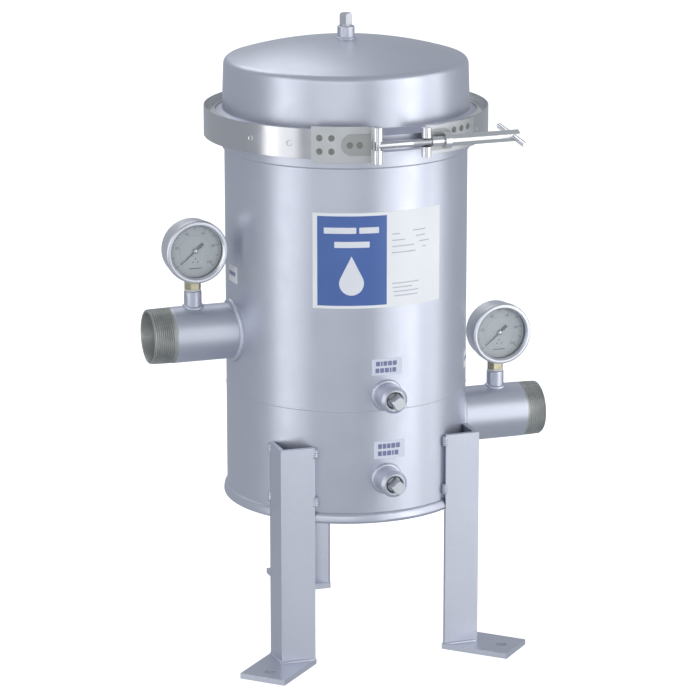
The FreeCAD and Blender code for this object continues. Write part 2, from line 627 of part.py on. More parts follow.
def make_retainer(name, side):
    """The V-section segment that draws the two flanges together."""
    web = "band_radius - band_thick"
    face = "flange_rim + retainer_gap"
    fall = "tan(flange_slope)"
    lip = f"{face} + (flange_radius - retainer_lip) * {fall}"
    root = f"{face} + (flange_radius - (band_radius - band_thick - retainer_thick)) * {fall}"
    skin = "retainer_thick / cos(flange_slope)"
    inner_web = "band_radius - band_thick - retainer_thick"
    start, end = mirrored_span(side, "retainer_front", "retainer_rear")
    body = revolved(name, [
        (inner_web, f"-({root})"),
        ("retainer_lip", f"-({lip})"),
        ("retainer_lip", f"-({lip} + {skin})"),
        (web, f"-({root} + {skin} - retainer_thick * {fall})"),
        (web, f"{root} + {skin} - retainer_thick * {fall}"),
        ("retainer_lip", f"{lip} + {skin}"),
        ("retainer_lip", lip),
        (inner_web, root),
    ], f"({end}) - ({start})")
    place(body, z="joint_level", rotation=turn(value(start) - 90 + value("closure_turn")))
    node(body, name)


def make_strap(name, side):
    """The closure strap: a plate on the band, a loop round the pin and a tongue returned on the plate."""
    far = f"{name}_end"
    half = f"{name}_half"
    plate = arc_plate(f"{name}_plate", "band_radius", "band_radius + strap_thick", half,
                      *mirrored_span(side, "strap_front", far))
    tongue = arc_plate(f"{name}_tongue_plate", "band_radius + strap_thick", "band_radius + 2 * strap_thick",
                       "tongue_half", *mirrored_span(side, "strap_front", "tongue_end"))
    # The tongue's end is a half circle about a point one half-height short of its tip.
    tip = value("tongue_end") - math.degrees(value("tongue_half / band_radius"))
    round_part = cylinder(f"{name}_tongue_round", "tongue_half", "rounder_deep", y="-rounder_place",
                          z="joint_level", rotation=FreeCAD.Rotation(Z_AXIS, FRONT))
    straight_part = box(f"{name}_tongue_keep", "rounder_reach", "rounder_deep", "2 * tongue_half",
                        "0" if side < 0 else "-rounder_reach", "-rounder_place - rounder_deep",
                        "joint_level - tongue_half")
    rounder = fuse(f"{name}_tongue_shape", round_part, straight_part)
    rounder.Placement = FreeCAD.Placement(Vector(), turn(side * tip))
    tongue = common(f"{name}_tongue", tongue, rounder)

    x = f"{side} * pin_place"
    outer = cylinder(f"{name}_loop_outer", "pin_radius + pin_clearance + strap_thick", f"2 * {half}",
                     x, "-pin_line", f"joint_level - {half}")
    seat = box(f"{name}_loop_seat", "loop_seat_wide", "loop_seat_deep", f"2 * {half}",
               "pin_place" if side > 0 else "-pin_place - loop_seat_wide",
               "-pin_line + pin_radius + loop_seat_gap", f"joint_level - {half}")
    solid = fuse(f"{name}_solid", plate, tongue, outer, seat)
    bore = cylinder(f"{name}_loop_bore", "pin_radius + pin_clearance", f"2 * ({half} + cut_margin)",
                    x, "-pin_line", f"joint_level - {half} - cut_margin")
    bored = cut(f"{name}_bored", solid, bore)
    slot = box(f"{name}_slot", "slot_wide", "slot_deep", "2 * bolt_slot_half",
               f"{x} - bolt_slot_half" if side < 0 else f"{x} - slot_wide / 2",
               "-pin_line + bolt_slot_half - slot_deep", "joint_level - bolt_slot_half")
    clamped(cut(name, bored, slot), name)


def make_band_half(name, side):
    band = arc_plate(f"{name}_band", "band_radius - band_thick", "band_radius", "band_half",
                     *mirrored_span(side, "band_front", "band_rear"))
    clamped(band, f"{name}_band")
    make_retainer(f"{name}_retainer", side)
    make_strap(f"{name}_strap", side)

    # Rear hinge: two outer knuckles on the left leaf, one middle knuckle on the right leaf.
    leaf = arc_plate(f"{name}_leaf_plate", "band_radius", "band_radius + strap_thick", "band_half",
                     *mirrored_span(side, "leaf_end", "leaf_start"))
    pieces = [leaf]
    third = "knuckle_third"
    starts = [f"-1.5 * {third}", f"0.5 * {third} + knuckle_gap"] if side < 0 else [f"-0.5 * {third}"]
    tall = third if side > 0 else f"{third} - knuckle_gap"
    for i, start in enumerate(starts):
        z = f"joint_level + {start}"
        pieces.append(cylinder(f"{name}_knuckle_{i}", "hinge_radius", tall, "0", "hinge_line", z))
        pieces.append(box(f"{name}_tab_{i}", "hinge_tab", "strap_thick", tall,
                          "0" if side > 0 else "-hinge_tab", "band_radius + tab_lift", z))
    solid = fuse(f"{name}_leaf_solid", *pieces)
    bore_radius = "hinge_pin + hinge_clearance" if side > 0 else "hinge_pin"
    bore = cylinder(f"{name}_leaf_bore", bore_radius, "4 * knuckle_third", "0", "hinge_line",
                    "joint_level - 2 * knuckle_third")
    clamped(cut(f"{name}_hinge_leaf", solid, bore), f"{name}_hinge_leaf")


ALONG_BOLT = FreeCAD.Rotation(Z_AXIS, RIGHT)


def along_bolt(name, radius, start, end):
    """A cylinder on the bolt's axis, between two places measured from the clamp's centre line."""
    return cylinder(name, radius, f"({end}) - ({start})", start, "-pin_line", "joint_level", ALONG_BOLT)


def make_bolt():
    head = cylinder("tee_bolt_head", "pin_radius", "2 * left_strap_half", "-pin_place", "-pin_line",
                    "joint_level - left_strap_half")
    shank = along_bolt("tee_bolt_shank", "bolt_radius", "-pin_place", "bolt_reach")
    clamped(fuse("tee_bolt", head, shank), "tee_bolt")

    pin = cylinder("trunnion_pin", "pin_radius", "2 * right_strap_half", "pin_place", "-pin_line",
                   "joint_level - right_strap_half")
    throat = box("trunnion_throat", "slot_wide", "slot_wide", "2 * bolt_slot_half",
                 "pin_place - slot_wide / 2", "-pin_line - 0.75 * slot_wide", "joint_level - bolt_slot_half")
    clamped(cut("right_trunnion", pin, throat), "right_trunnion")

    bore = "bolt_radius + thread_clearance"
    sleeve = along_bolt("collar_outer", "collar_radius", "collar_start", "collar_end")
    sleeve_bore = along_bolt("collar_bore", bore, "collar_start - cut_margin", "collar_end + cut_margin")
    clamped(cut("thrust_collar", sleeve, sleeve_bore), "thrust_collar")

    nut = along_bolt("handle_nut", "nut_radius", "nut_start", "nut_end")
    tube = along_bolt("handle_barrel", "tube_radius", "nut_start", "tube_end")
    barrel = fuse("handle_solid", nut, tube)
    thread = along_bolt("handle_thread", bore, "nut_start - cut_margin", "tube_bore_end")
    tapped = cut("handle_tapped", barrel, thread)
    # The tightened handle holds its cross bar leaning, the front end down.
    across = FreeCAD.Rotation(RIGHT, value("bar_lean")) * FreeCAD.Rotation(Z_AXIS, FRONT)
    bar_end = ("bar_place", "-pin_line + bar_half * cos(bar_lean)", "joint_level + bar_half * sin(bar_lean)")
    cross = cylinder("handle_cross_hole", "bar_radius", "2 * bar_half", *bar_end, across)
    clamped(cut("handle_tube", tapped, cross), "handle_tube")
    bar = cylinder("cross_bar_rod", "bar_radius", "2 * bar_half", *bar_end, across)
    clamped(group("cross_bar", bar), "cross_bar")

    pin = cylinder("hinge_pin_rod", "hinge_pin", "3 * knuckle_third + 2 * pin_overhang", "0", "hinge_line",
                   "joint_level - 1.5 * knuckle_third - pin_overhang")
    clamped(group("hinge_pin", pin), "hinge_pin")


# ---- labels ----------------------------------------------------------------------------------------

def label_sheet(name):
    """A thin label wrapped on the shell."""
    out = cylinder(f"{name}_outer", "shell_radius + label_thick", f"{name}_tall", z=f"{name}_base",
                   rotation=turn(value(f"{name}_start") - 90), sweep=f"{name}_end - {name}_start")
    core = cylinder(f"{name}_inner", "shell_radius", f"{name}_tall + 2 * cut_margin",
                    z=f"{name}_base - cut_margin")
    return cut(f"{name}_sheet", out, core)


def make_labels():
    node(label_sheet("nameplate"), "nameplate")
    node(group("drain_labels", label_sheet("dirty_label"), label_sheet("clean_label")), "drain_labels")
    node(group("port_labels", label_sheet("inlet_label"), label_sheet("outlet_label")), "port_labels")


# ---- build, check and write ------------------------------------------------------------------------

make_vessel()
make_lid()
make_pipes()
make_drains()
make_legs()
make_cartridge()
make_gauges()
make_band_half("left", -1)
make_band_half("right", 1)
make_bolt()
make_labels()
doc.recompute()

faults = [f"{o.Name}: {o.State}" for o in doc.Objects if {"Invalid", "Error"} & set(o.State)]
faults += [f"{o.Label}: bad shape" for o in nodes if o.Shape.isNull() or not o.Shape.isValid()]
faults += [f"{o.Label}: no solid" for o in nodes if not o.Shape.Solids]
if faults:
    raise RuntimeError("; ".join(faults))

os.makedirs("parts", exist_ok=True)
for thing in nodes:
    thing.Shape.exportStep(f"parts/{thing.Label}.step")
print(len(nodes), "sub-parts written")
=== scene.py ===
"""Looks of the cartridge filter housing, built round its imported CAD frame: finishes for every CAD node,
and the pieces that only the eye needs, such as pipe threads, weld beads, spot welds, dial markings, label
print, filter pleats and a pale studio.

Metres, +Z up, the vessel's axis at X = Y = 0. Azimuths are degrees about that axis from -Y towards +X.
"""
import json
import math

import bmesh
import bpy
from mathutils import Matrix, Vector


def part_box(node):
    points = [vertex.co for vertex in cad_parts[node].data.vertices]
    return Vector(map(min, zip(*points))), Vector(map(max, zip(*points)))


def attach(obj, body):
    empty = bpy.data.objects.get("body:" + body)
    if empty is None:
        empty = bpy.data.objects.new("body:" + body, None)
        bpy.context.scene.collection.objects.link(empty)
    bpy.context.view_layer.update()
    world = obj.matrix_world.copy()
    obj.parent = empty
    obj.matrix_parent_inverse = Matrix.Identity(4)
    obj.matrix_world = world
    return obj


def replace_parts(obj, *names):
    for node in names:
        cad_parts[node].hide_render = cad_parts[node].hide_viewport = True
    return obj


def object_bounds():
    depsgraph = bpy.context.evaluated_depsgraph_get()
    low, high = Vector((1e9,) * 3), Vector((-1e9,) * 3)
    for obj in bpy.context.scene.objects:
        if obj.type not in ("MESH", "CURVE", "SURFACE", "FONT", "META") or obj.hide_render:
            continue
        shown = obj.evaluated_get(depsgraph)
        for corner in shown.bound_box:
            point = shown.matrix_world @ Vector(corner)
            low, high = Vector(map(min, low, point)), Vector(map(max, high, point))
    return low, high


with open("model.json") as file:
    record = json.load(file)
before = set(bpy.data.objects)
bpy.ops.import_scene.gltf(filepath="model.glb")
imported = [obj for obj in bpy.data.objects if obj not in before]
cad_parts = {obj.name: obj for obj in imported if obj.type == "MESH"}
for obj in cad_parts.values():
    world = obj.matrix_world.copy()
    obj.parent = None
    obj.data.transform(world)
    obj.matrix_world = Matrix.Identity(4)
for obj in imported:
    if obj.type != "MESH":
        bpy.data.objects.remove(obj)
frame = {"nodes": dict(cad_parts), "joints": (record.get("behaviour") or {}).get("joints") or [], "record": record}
cad_low, cad_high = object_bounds()

MM = 0.001
UP = Vector((0, 0, 1))
TURN = 2 * math.pi


# ---- places, read from the frame -------------------------------------------------------------------

def middle(node):
    low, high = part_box(node)
    return (low + high) / 2


def half_size(node):
    low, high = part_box(node)
    return (high - low) / 2


SHELL_LOW, SHELL_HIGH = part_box("upper_shell")
SHELL = SHELL_HIGH.x
SEAM_LEVEL = SHELL_LOW.z
LID_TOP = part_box("lid_head")[1].z
BAND = -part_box("left_band")[0].x
JOINT_LEVEL = middle("left_band").z
STRAP = 1.6 * MM
BOLT_AXIS = Vector(next(j["axis"] for j in frame["joints"] if j["name"] == "collar_travel"))
CLOSURE_TURN = math.degrees(math.atan2(BOLT_AXIS.y, BOLT_AXIS.x))
SIDES = {"inlet": -1, "outlet": 1}
LEGS = {"front_left": -45.0, "front_right": 45.0, "rear": 180.0}


def at(azimuth, radius, level):
    a = math.radians(azimuth)
    return Vector((radius * math.sin(a), -radius * math.cos(a), level))


def basis(axis):
    """Two directions square to an axis and to each other."""
    first = axis.orthogonal().normalized()
    return first, axis.cross(first).normalized()


# ---- materials -------------------------------------------------------------------------------------

class Nodes:
    """A material's node tree, with short ways to add and join nodes."""

    def __init__(self, name):
        self.material = bpy.data.materials.new(name)
        self.material.use_nodes = True
        self.tree = self.material.node_tree
        self.shader = next(n for n in self.tree.nodes if n.type == "BSDF_PRINCIPLED")
        self.place = self.add("ShaderNodeTexCoord").outputs["Object"]

    def add(self, kind, inputs=None, **settings):
        made = self.tree.nodes.new(kind)
        for name, value in settings.items():
            setattr(made, name, value)
        for name, value in (inputs or {}).items():
            self.set(made.inputs[name], value)
        return made

    def set(self, socket, value):
        if isinstance(value, bpy.types.NodeSocket):
            self.tree.links.new(value, socket)
        else:
            socket.default_value = value

    def stretched(self, stretch):
        return self.add("ShaderNodeMapping", {"Vector": self.place, "Scale": stretch}).outputs["Vector"]

    def noise(self, scale, detail=2.0, stretch=None, roughness=0.5):
        vector = self.place if stretch is None else self.stretched(stretch)
        inputs = {"Vector": vector, "Scale": scale, "Detail": detail, "Roughness": roughness}
        return self.add("ShaderNodeTexNoise", inputs).outputs["Fac"]

    def ranged(self, value, low, high, start=0.3, end=0.7):
        inputs = {"Value": value, "From Min": start, "From Max": end, "To Min": low, "To Max": high}
        return self.add("ShaderNodeMapRange", inputs).outputs["Result"]

    def mixed(self, factor, first, second):
        mix = self.add("ShaderNodeMix", data_type="RGBA")
        self.set(mix.inputs[0], factor)
        for socket, value in ((mix.inputs[6], first), (mix.inputs[7], second)):
            self.set(socket, value if isinstance(value, bpy.types.NodeSocket) else (*value, 1))
        return mix.outputs[2]

    def mixed_number(self, factor, first, second):
        mix = self.add("ShaderNodeMix", data_type="FLOAT")
        for socket, value in zip((mix.inputs[0], mix.inputs[2], mix.inputs[3]), (factor, first, second)):
            self.set(socket, value)
        return mix.outputs[0]

    def soft_edge(self, radius):
        return self.add("ShaderNodeBevel", {"Radius": radius}, samples=4).outputs["Normal"]

    def bump(self, depth, height, normal):
        inputs = {"Strength": 1.0, "Distance": depth, "Height": height, "Normal": normal}
        return self.add("ShaderNodeBump", inputs).outputs["Normal"]

    def length(self, vector, share):
        """How long a vector is, with each of its parts first multiplied by a share."""
        kept = self.add("ShaderNodeVectorMath", {0: vector, 1: share}, operation="MULTIPLY")
        inputs = {0: kept.outputs["Vector"]}
        return self.add("ShaderNodeVectorMath", inputs, operation="LENGTH").outputs["Value"]

    def finish(self, **sockets):
        for name, value in sockets.items():
            self.set(self.shader.inputs[name.replace("_", " ")], value)
        return self.material


def scaled(colour, factor):
    return tuple(c * factor for c in colour)


def finish_of(name, colour, metallic, roughness, spread=0.05, rough_spread=0.05, blotch=14.0, grain=1200.0,
              depth=0.02 * MM, stretch=None, edge=0.35 * MM):
    """A solid finish: cloudy colour and roughness, a fine grain, and edges worn slightly round."""
    n = Nodes(name)
    cloud = n.noise(blotch, 3.0)
    base = n.mixed(n.ranged(cloud, 0, 1), scaled(colour, 1 - spread), scaled(colour, 1 + spread))
    rough = n.ranged(n.noise(blotch * 4, 4.0), roughness - rough_spread, roughness + rough_spread)
    grained = n.bump(depth, n.noise(grain, 2.0, stretch), n.soft_edge(edge))
    return n.finish(Base_Color=base, Metallic=metallic, Roughness=rough, Normal=grained)


SILVER = (0.635, 0.652, 0.735)
RAW_STEEL = (0.56, 0.57, 0.55)
RAW_STEEL_DARK = (0.40, 0.41, 0.40)


def clouded_silver(n):
    return n.mixed(n.ranged(n.noise(7.0, 4.0), 0, 1), scaled(SILVER, 0.965), scaled(SILVER, 1.03))


def silver_coat():
    """Metallic silver coating over bead-blasted steel: fine flake, faint clouds, an orange-peel swell."""
    n = Nodes("silver_coat")
    flake = n.ranged(n.noise(2600.0, 1.0), 0.93, 1.07)
    inputs = {0: clouded_silver(n), 1: flake}
    sparkle = n.add("ShaderNodeVectorMath", inputs, operation="MULTIPLY").outputs["Vector"]
    rough = n.ranged(n.noise(60.0, 5.0), 0.34, 0.40)
    swell = n.bump(0.02 * MM, n.noise(150.0, 2.0), n.soft_edge(0.6 * MM))
    blast = n.bump(0.018 * MM, n.noise(1500.0, 3.0), swell)
    return n.finish(Base_Color=sparkle, Metallic=0.82, Roughness=rough, Normal=blast)


def pipe_finish(name, paint_end):
    """The pipes' silver coating, ending in an uneven line before the bare, faintly stained thread."""
    n = Nodes(name)
    distance = n.add("ShaderNodeSeparateXYZ", {"Vector": n.place}).outputs["X"]
    reach = n.add("ShaderNodeMath", {0: distance}, operation="ABSOLUTE").outputs["Value"]
    wander = n.ranged(n.noise(55.0, 3.0), -1.1 * MM, 1.1 * MM)
    edge = n.add("ShaderNodeMath", {0: reach, 1: wander}, operation="ADD").outputs["Value"]
    outside = n.ranged(edge, 0, 1, paint_end - 0.3 * MM, paint_end + 0.3 * MM)
    axis_level = middle(name).z
    off_axis = n.add("ShaderNodeVectorMath", {0: n.place, 1: (0, 0, axis_level)}, operation="SUBTRACT")
    radius = n.length(off_axis.outputs["Vector"], (0, 1, 1))
    inside = n.ranged(radius, 1, 0, 27.2 * MM, 27.6 * MM)
    bare = n.add("ShaderNodeMath", {0: outside, 1: inside}, operation="MAXIMUM").outputs["Value"]
    stain = n.ranged(n.noise(45.0, 5.0), 0, 1, 0.35, 0.65)
    steel = n.mixed(stain, RAW_STEEL_DARK, RAW_STEEL)
    steel = n.mixed(inside, steel, scaled(RAW_STEEL, 0.8))
    rough = n.mixed_number(bare, 0.4, n.ranged(n.noise(120.0, 4.0), 0.38, 0.56))
    grained = n.bump(0.02 * MM, n.noise(1300.0, 3.0), n.soft_edge(0.3 * MM))
    base = n.mixed(bare, clouded_silver(n), steel)
    return n.finish(Base_Color=base, Metallic=0.85, Roughness=rough, Normal=grained)


def glass():
    n = Nodes("gauge_glass")
    smear = n.ranged(n.noise(90.0, 3.0), 0.03, 0.09)
    return n.finish(Base_Color=(0.86, 0.92, 0.93, 1), Roughness=smear, Alpha=0.14, IOR=1.5)


def strap_finish():
    """The straps' matt steel, with painted shade darkening the returned tongue and a painted highlight brightening
    the bent loops, which are also smoother.
    """
    n = Nodes("strap_steel_painted_light")
    radius = n.length(n.place, (1, 1, 0))
    # Painted shade: the returned tongue is coloured darker to stand in for the shadow it sits in.
    tongue_shade = n.ranged(radius, 0, 1, BAND + 1.4 * STRAP, BAND + 1.7 * STRAP)
    # Painted highlight: the bent loops are coloured brighter; their lower roughness below is real shine.
    loop_highlight = n.ranged(radius, 0, 1, BAND + 2.1 * STRAP, BAND + 2.6 * STRAP)
    cloud = n.ranged(n.noise(60.0, 3.0), 0, 1)
    plate = n.mixed(cloud, (0.57, 0.58, 0.59), (0.62, 0.63, 0.64))
    # The tongue's dark grey is painted shade and the loops' light grey is a painted highlight.
    base = n.mixed(loop_highlight, n.mixed(tongue_shade, plate, (0.44, 0.44, 0.43)), (0.85, 0.85, 0.86))
    rough = n.mixed_number(loop_highlight, n.ranged(n.noise(240.0, 4.0), 0.37, 0.47), 0.2)
    grained = n.bump(0.015 * MM, n.noise(1500.0, 2.0), n.soft_edge(0.35 * MM))
    return n.finish(Base_Color=base, Metallic=0.92, Roughness=rough, Normal=grained)


def pleat_finish():
    """Spun polyester: a felted mat of fine fibres, soft and matt."""
    n = Nodes("filter_media")
    fibre = n.noise(900.0, 6.0, (1, 1, 0.25), 0.7)
    base = n.mixed(n.ranged(fibre, 0, 1), (0.72, 0.74, 0.72), (0.90, 0.91, 0.89))
    inputs = {"Strength": 1.0, "Distance": 0.08 * MM, "Height": fibre}
    felted = n.add("ShaderNodeBump", inputs).outputs["Normal"]
    return n.finish(Base_Color=base, Roughness=0.92, Normal=felted, Sheen_Weight=0.3)


# How a grain is drawn out: the smaller a direction's number, the longer its streaks.
HORIZONTAL_BRUSH = (0.012, 0.012, 1.0)
TURNED_MARKS = (1.0, 0.02, 0.02)

FINISHES = {
    "vessel_silver": silver_coat(),
    "polished_stainless": finish_of("polished_stainless", (0.80, 0.80, 0.80), 1.0, 0.16, 0.03, 0.04, 25.0,
                                    1500.0, 0.006 * MM, HORIZONTAL_BRUSH),
    "plated_plug": finish_of("plated_plug", (0.64, 0.65, 0.68), 0.9, 0.38, 0.03, 0.04, 60.0, 1100.0,
                             0.015 * MM, edge=0.5 * MM),
    "black_rubber": finish_of("black_rubber", (0.022, 0.022, 0.024), 0.0, 0.62, 0.1, 0.06, 30.0, 1400.0,
                              0.03 * MM),
    "cartridge_cap": finish_of("cartridge_cap", (0.055, 0.13, 0.36), 0.0, 0.42, 0.06, 0.05, 40.0, 700.0,
                               0.03 * MM),
    "filter_media": pleat_finish(),
    "gauge_glass": glass(),
    "gauge_dial": finish_of("gauge_dial", (0.58, 0.61, 0.63), 0.0, 0.55, 0.03, 0.05, 120.0, 2500.0,
                            0.01 * MM),
    "pointer_black": finish_of("pointer_black", (0.022, 0.022, 0.025), 0.1, 0.45, 0.15, 0.08, 200.0, 2500.0,
                               0.01 * MM, edge=0.1 * MM),
    "brass": finish_of("brass", (0.56, 0.52, 0.36), 1.0, 0.32, 0.10, 0.07, 90.0, 1800.0, 0.015 * MM,
                       HORIZONTAL_BRUSH),
    "thread_tape": finish_of("thread_tape", (0.86, 0.87, 0.86), 0.0, 0.55, 0.04, 0.06, 200.0, 1600.0,
                             0.06 * MM, (1, 1, 0.3), edge=0.2 * MM),
    "label_vinyl": finish_of("label_vinyl", (0.96, 0.97, 0.985), 0.0, 0.34, 0.02, 0.04, 20.0, 500.0,
                             0.01 * MM, edge=0.1 * MM),
}
# The straps' finish, with painted shade on the tongue and a painted highlight on the loops.
STRAP_STEEL_PAINTED_LIGHT = strap_finish()
LEAF_STEEL = finish_of("leaf_steel", (0.60, 0.61, 0.62), 0.9, 0.42, 0.04, 0.05, 60.0, 1500.0, 0.02 * MM)
BAND_STEEL = finish_of("band_steel", (0.62, 0.62, 0.64), 1.0, 0.20, 0.02, 0.02, 12.0, 1500.0, 0.002 * MM,
                       HORIZONTAL_BRUSH)
BOLT_STEEL = finish_of("bolt_steel", (0.66, 0.66, 0.68), 1.0, 0.24, 0.03, 0.04, 60.0, 1800.0, 0.006 * MM,
                       TURNED_MARKS)
WELD_TINT = finish_of("weld_tint", (0.26, 0.27, 0.24), 0.85, 0.48, 0.15, 0.06, 400.0, 1500.0, 0.02 * MM)
GAUGE_STEEL = finish_of("gauge_steel", (0.76, 0.77, 0.81), 0.9, 0.33, 0.03, 0.04, 30.0, 1500.0, 0.008 * MM)
TUBE_STEEL = finish_of("tube_steel", (0.82, 0.82, 0.83), 1.0, 0.14, 0.03, 0.04, 60.0, 1800.0, 0.006 * MM,
                       TURNED_MARKS)
LABEL_FILM = finish_of("label_film", (0.76, 0.80, 0.90), 0.0, 0.34, 0.02, 0.04, 20.0, 500.0, 0.01 * MM,
                       edge=0.1 * MM)
BLUE_PRINT = finish_of("blue_print", (0.085, 0.165, 0.45), 0.0, 0.32, 0.05, 0.04, 25.0, 500.0, 0.008 * MM)
INK_BLUE = finish_of("ink_blue", (0.215, 0.225, 0.40), 0.0, 0.36, 0.08, 0.04, 200.0, 900.0, 0.008 * MM)
INK_GREY = finish_of("ink_grey", (0.60, 0.62, 0.70), 0.0, 0.36, 0.08, 0.04, 200.0, 900.0, 0.008 * MM)
INK_WHITE = finish_of("ink_white", (0.88, 0.89, 0.94), 0.0, 0.33, 0.02, 0.04, 60.0, 700.0, 0.008 * MM)
INK_BLACK = finish_of("ink_black", (0.03, 0.03, 0.035), 0.0, 0.5, 0.15, 0.05, 300.0, 2500.0, 0.004 * MM)
# Painted shade: a near-black finish for the ring laid in the recess round each drain plug.
RECESS_SHADE_FINISH = finish_of("plug_recess_painted_shade", (0.10, 0.125, 0.085), 0.0, 0.5, 0.3, 0.1, 300.0, 900.0, 0.15 * MM)

for row in frame["record"]["subparts"]:
    mesh = frame["nodes"][row["node"]].data
    mesh.materials.clear()
    mesh.materials.append(FINISHES[row["material_slot"]])

# Nodes whose finish differs a little from their slot's usual one.
OWN_FINISHES = (
    (STRAP_STEEL_PAINTED_LIGHT, ("left_strap", "right_strap")),
    (LEAF_STEEL, ("left_hinge_leaf", "right_hinge_leaf")),
    (TUBE_STEEL, ("handle_tube", "thrust_collar", "cross_bar")),
    (BAND_STEEL, ("left_band", "right_band", "right_trunnion")),
    (LABEL_FILM, ("drain_labels",)),
    (GAUGE_STEEL, ("inlet_gauge_case", "inlet_gauge_bezel", "outlet_gauge_case", "outlet_gauge_bezel")),
)
for material, nodes in OWN_FINISHES:
    for node in nodes:
        frame["nodes"][node].data.materials[0] = material


# ---- mesh building ---------------------------------------------------------------------------------

class Shape:
    """The points and faces of one piece, gathered before it becomes an object."""

    def __init__(self):
        self.points = []
        self.faces = []

    def add(self, points, faces):
        start = len(self.points)
        self.points += [tuple(p) for p in points]
        self.faces += [tuple(start + i for i in face) for face in faces]


def piece(name, shape, material, body="vessel", sharp=35.0):
    """Makes a shape an object that rides on a body, smooth apart from its sharp edges."""
    mesh = bpy.data.meshes.new(name)
    mesh.from_pydata(shape.points, [], shape.faces)
    work = bmesh.new()
    work.from_mesh(mesh)
    bmesh.ops.remove_doubles(work, verts=work.verts, dist=0.0005 * MM)
    bmesh.ops.recalc_face_normals(work, faces=work.faces)
    work.to_mesh(mesh)
    work.free()
    mesh.shade_smooth()
    mesh.set_sharp_from_angle(angle=math.radians(sharp))
    mesh.materials.append(material)
    made = bpy.data.objects.new(name, mesh)
    bpy.context.scene.collection.objects.link(made)
    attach(made, body)
    return made


def grid(rows, columns, close_rows=False, close_columns=False):
    """The faces of a grid of points laid out row by row."""
    faces = []
    for r in range(rows if close_rows else rows - 1):
        for c in range(columns if close_columns else columns - 1):
            a, b = r * columns + c, r * columns + (c + 1) % columns
            d, e = (r + 1) % rows * columns + c, (r + 1) % rows * columns + (c + 1) % columns
            faces.append((a, b, e, d))
    return faces


def in_mm(profile):
    return [(r * MM, h * MM) for r, h in profile]


def lathe(shape, profile, origin, axis, segments):
    """A closed profile of (radius, height) turned about an axis through the origin given."""
    first, second = basis(axis)
    points = []
    for i in range(segments):
        a = TURN * i / segments
        out = first * math.cos(a) + second * math.sin(a)
        points += [origin + out * r + axis * h for r, h in profile]
    shape.add(points, grid(segments, len(profile), True, True))


def loop_path(centre, axis, radius, count):
    first, second = basis(axis)
    return [centre + (first * math.cos(TURN * i / count) + second * math.sin(TURN * i / count)) * radius
            for i in range(count)]


RIPPLE = 0.06
RIPPLE_PITCH = 2.4 * MM
BEAD_SIDES = 12


def bead(shape, path, reference, radius, closed=True, ripple=RIPPLE):
    """A weld bead along a path: a round section that swells with the ripples the weld pool left."""
    count = len(path)
    travelled = 0.0
    points = []
    for i, here in enumerate(path):
        before = path[i - 1] if closed or i > 0 else here
        after = path[(i + 1) % count] if closed or i < count - 1 else here
        along = (after - before).normalized()
        side = (reference - along * reference.dot(along)).normalized()
        other = along.cross(side)
        travelled += (here - path[i - 1]).length if i else 0.0
        share = 0.0 if closed else 2 * i / (count - 1) - 1
        girth = radius * max(0.02, 1 - share ** 6) ** 0.5
        for j in range(BEAD_SIDES):
            a = TURN * j / BEAD_SIDES
            swell = 1 + ripple * math.sin(TURN * travelled / RIPPLE_PITCH + 1.2 * math.sin(a))
            points.append(here + (side * math.cos(a) + other * math.sin(a)) * girth * swell)
    shape.add(points, grid(count, BEAD_SIDES, closed, True))
    if not closed:
        shape.add(points[:BEAD_SIDES], [tuple(range(BEAD_SIDES))])
        shape.add(points[-BEAD_SIDES:], [tuple(range(BEAD_SIDES))])


def slab(shape, outline, thick, where, strip=None):
    """A thin flat shape from an outline in (u, v), cut into upright strips where it has to bend, with
    where(u, v, w) giving each point's place. w is the height above the surface it lies on."""
    flat = bmesh.new()
    flat.faces.new([flat.verts.new((u, v, 0)) for u, v in outline])
    left, right = min(u for u, v in outline), max(u for u, v in outline)
    strips = 1 if strip is None else max(1, round((right - left) / strip))
    for i in range(1, strips):
        cut = left + (right - left) * i / strips
        bmesh.ops.bisect_plane(flat, geom=flat.verts[:] + flat.edges[:] + flat.faces[:], plane_co=(cut, 0, 0),
                               plane_no=(1, 0, 0), dist=1e-7)
    bmesh.ops.triangulate(flat, faces=[f for f in flat.faces if len(f.verts) > 4])
    flat.verts.index_update()
    count = len(flat.verts)
    faces = []
    for face in flat.faces:
        corners = [v.index for v in face.verts]
        faces += [tuple(corners), tuple(i + count for i in reversed(corners))]
    for edge in flat.edges:
        if len(edge.link_faces) == 1:
            a, b = (v.index for v in edge.verts)
            faces.append((a, b, b + count, a + count))
    points = [where(v.co.x, v.co.y, w) for w in (0.0, thick) for v in flat.verts]
    flat.free()
    shape.add(points, faces)


def rounded_bar(u, v, width, tall):
    """The outline of a bar with round corners, its lower left corner at (u, v)."""
    corner = min(width, tall) * 0.12
    outline = []
    centres = ((u + width - corner, v + corner, -90), (u + width - corner, v + tall - corner, 0),
               (u + corner, v + tall - corner, 90), (u + corner, v + corner, 180))
    for x, y, start in centres:
        for step in range(4):
            a = math.radians(start + 30 * step)
            outline.append((x + corner * math.cos(a), y + corner * math.sin(a)))
    return outline


# ---- threaded pipes --------------------------------------------------------------------------------

PIPE_PITCH = 25.4 / 11.5 * MM
PIPE_THREAD_DEPTH = 1.35 * MM
PIPE_TAPER = 1 / 32
PIPE_BORE = 26.25 * MM
PIPE_SIDES = 160
PIPE_CHAMFER = 1.6 * MM
THREAD_STEPS = 8
RUN_OUT = 3.0 * MM
THREAD_LONG = {"inlet": 24.9 * MM, "outlet": 22.1 * MM}


def thread_rise(along, angle, pitch):
    """How far up its flank a thread is, from 0 at the root to 1 at the crest."""
    phase = (along / pitch - angle / TURN) % 1.0
    return min(1.0, max(0.0, 1.25 * (1 - abs(2 * phase - 1)) - 0.12))


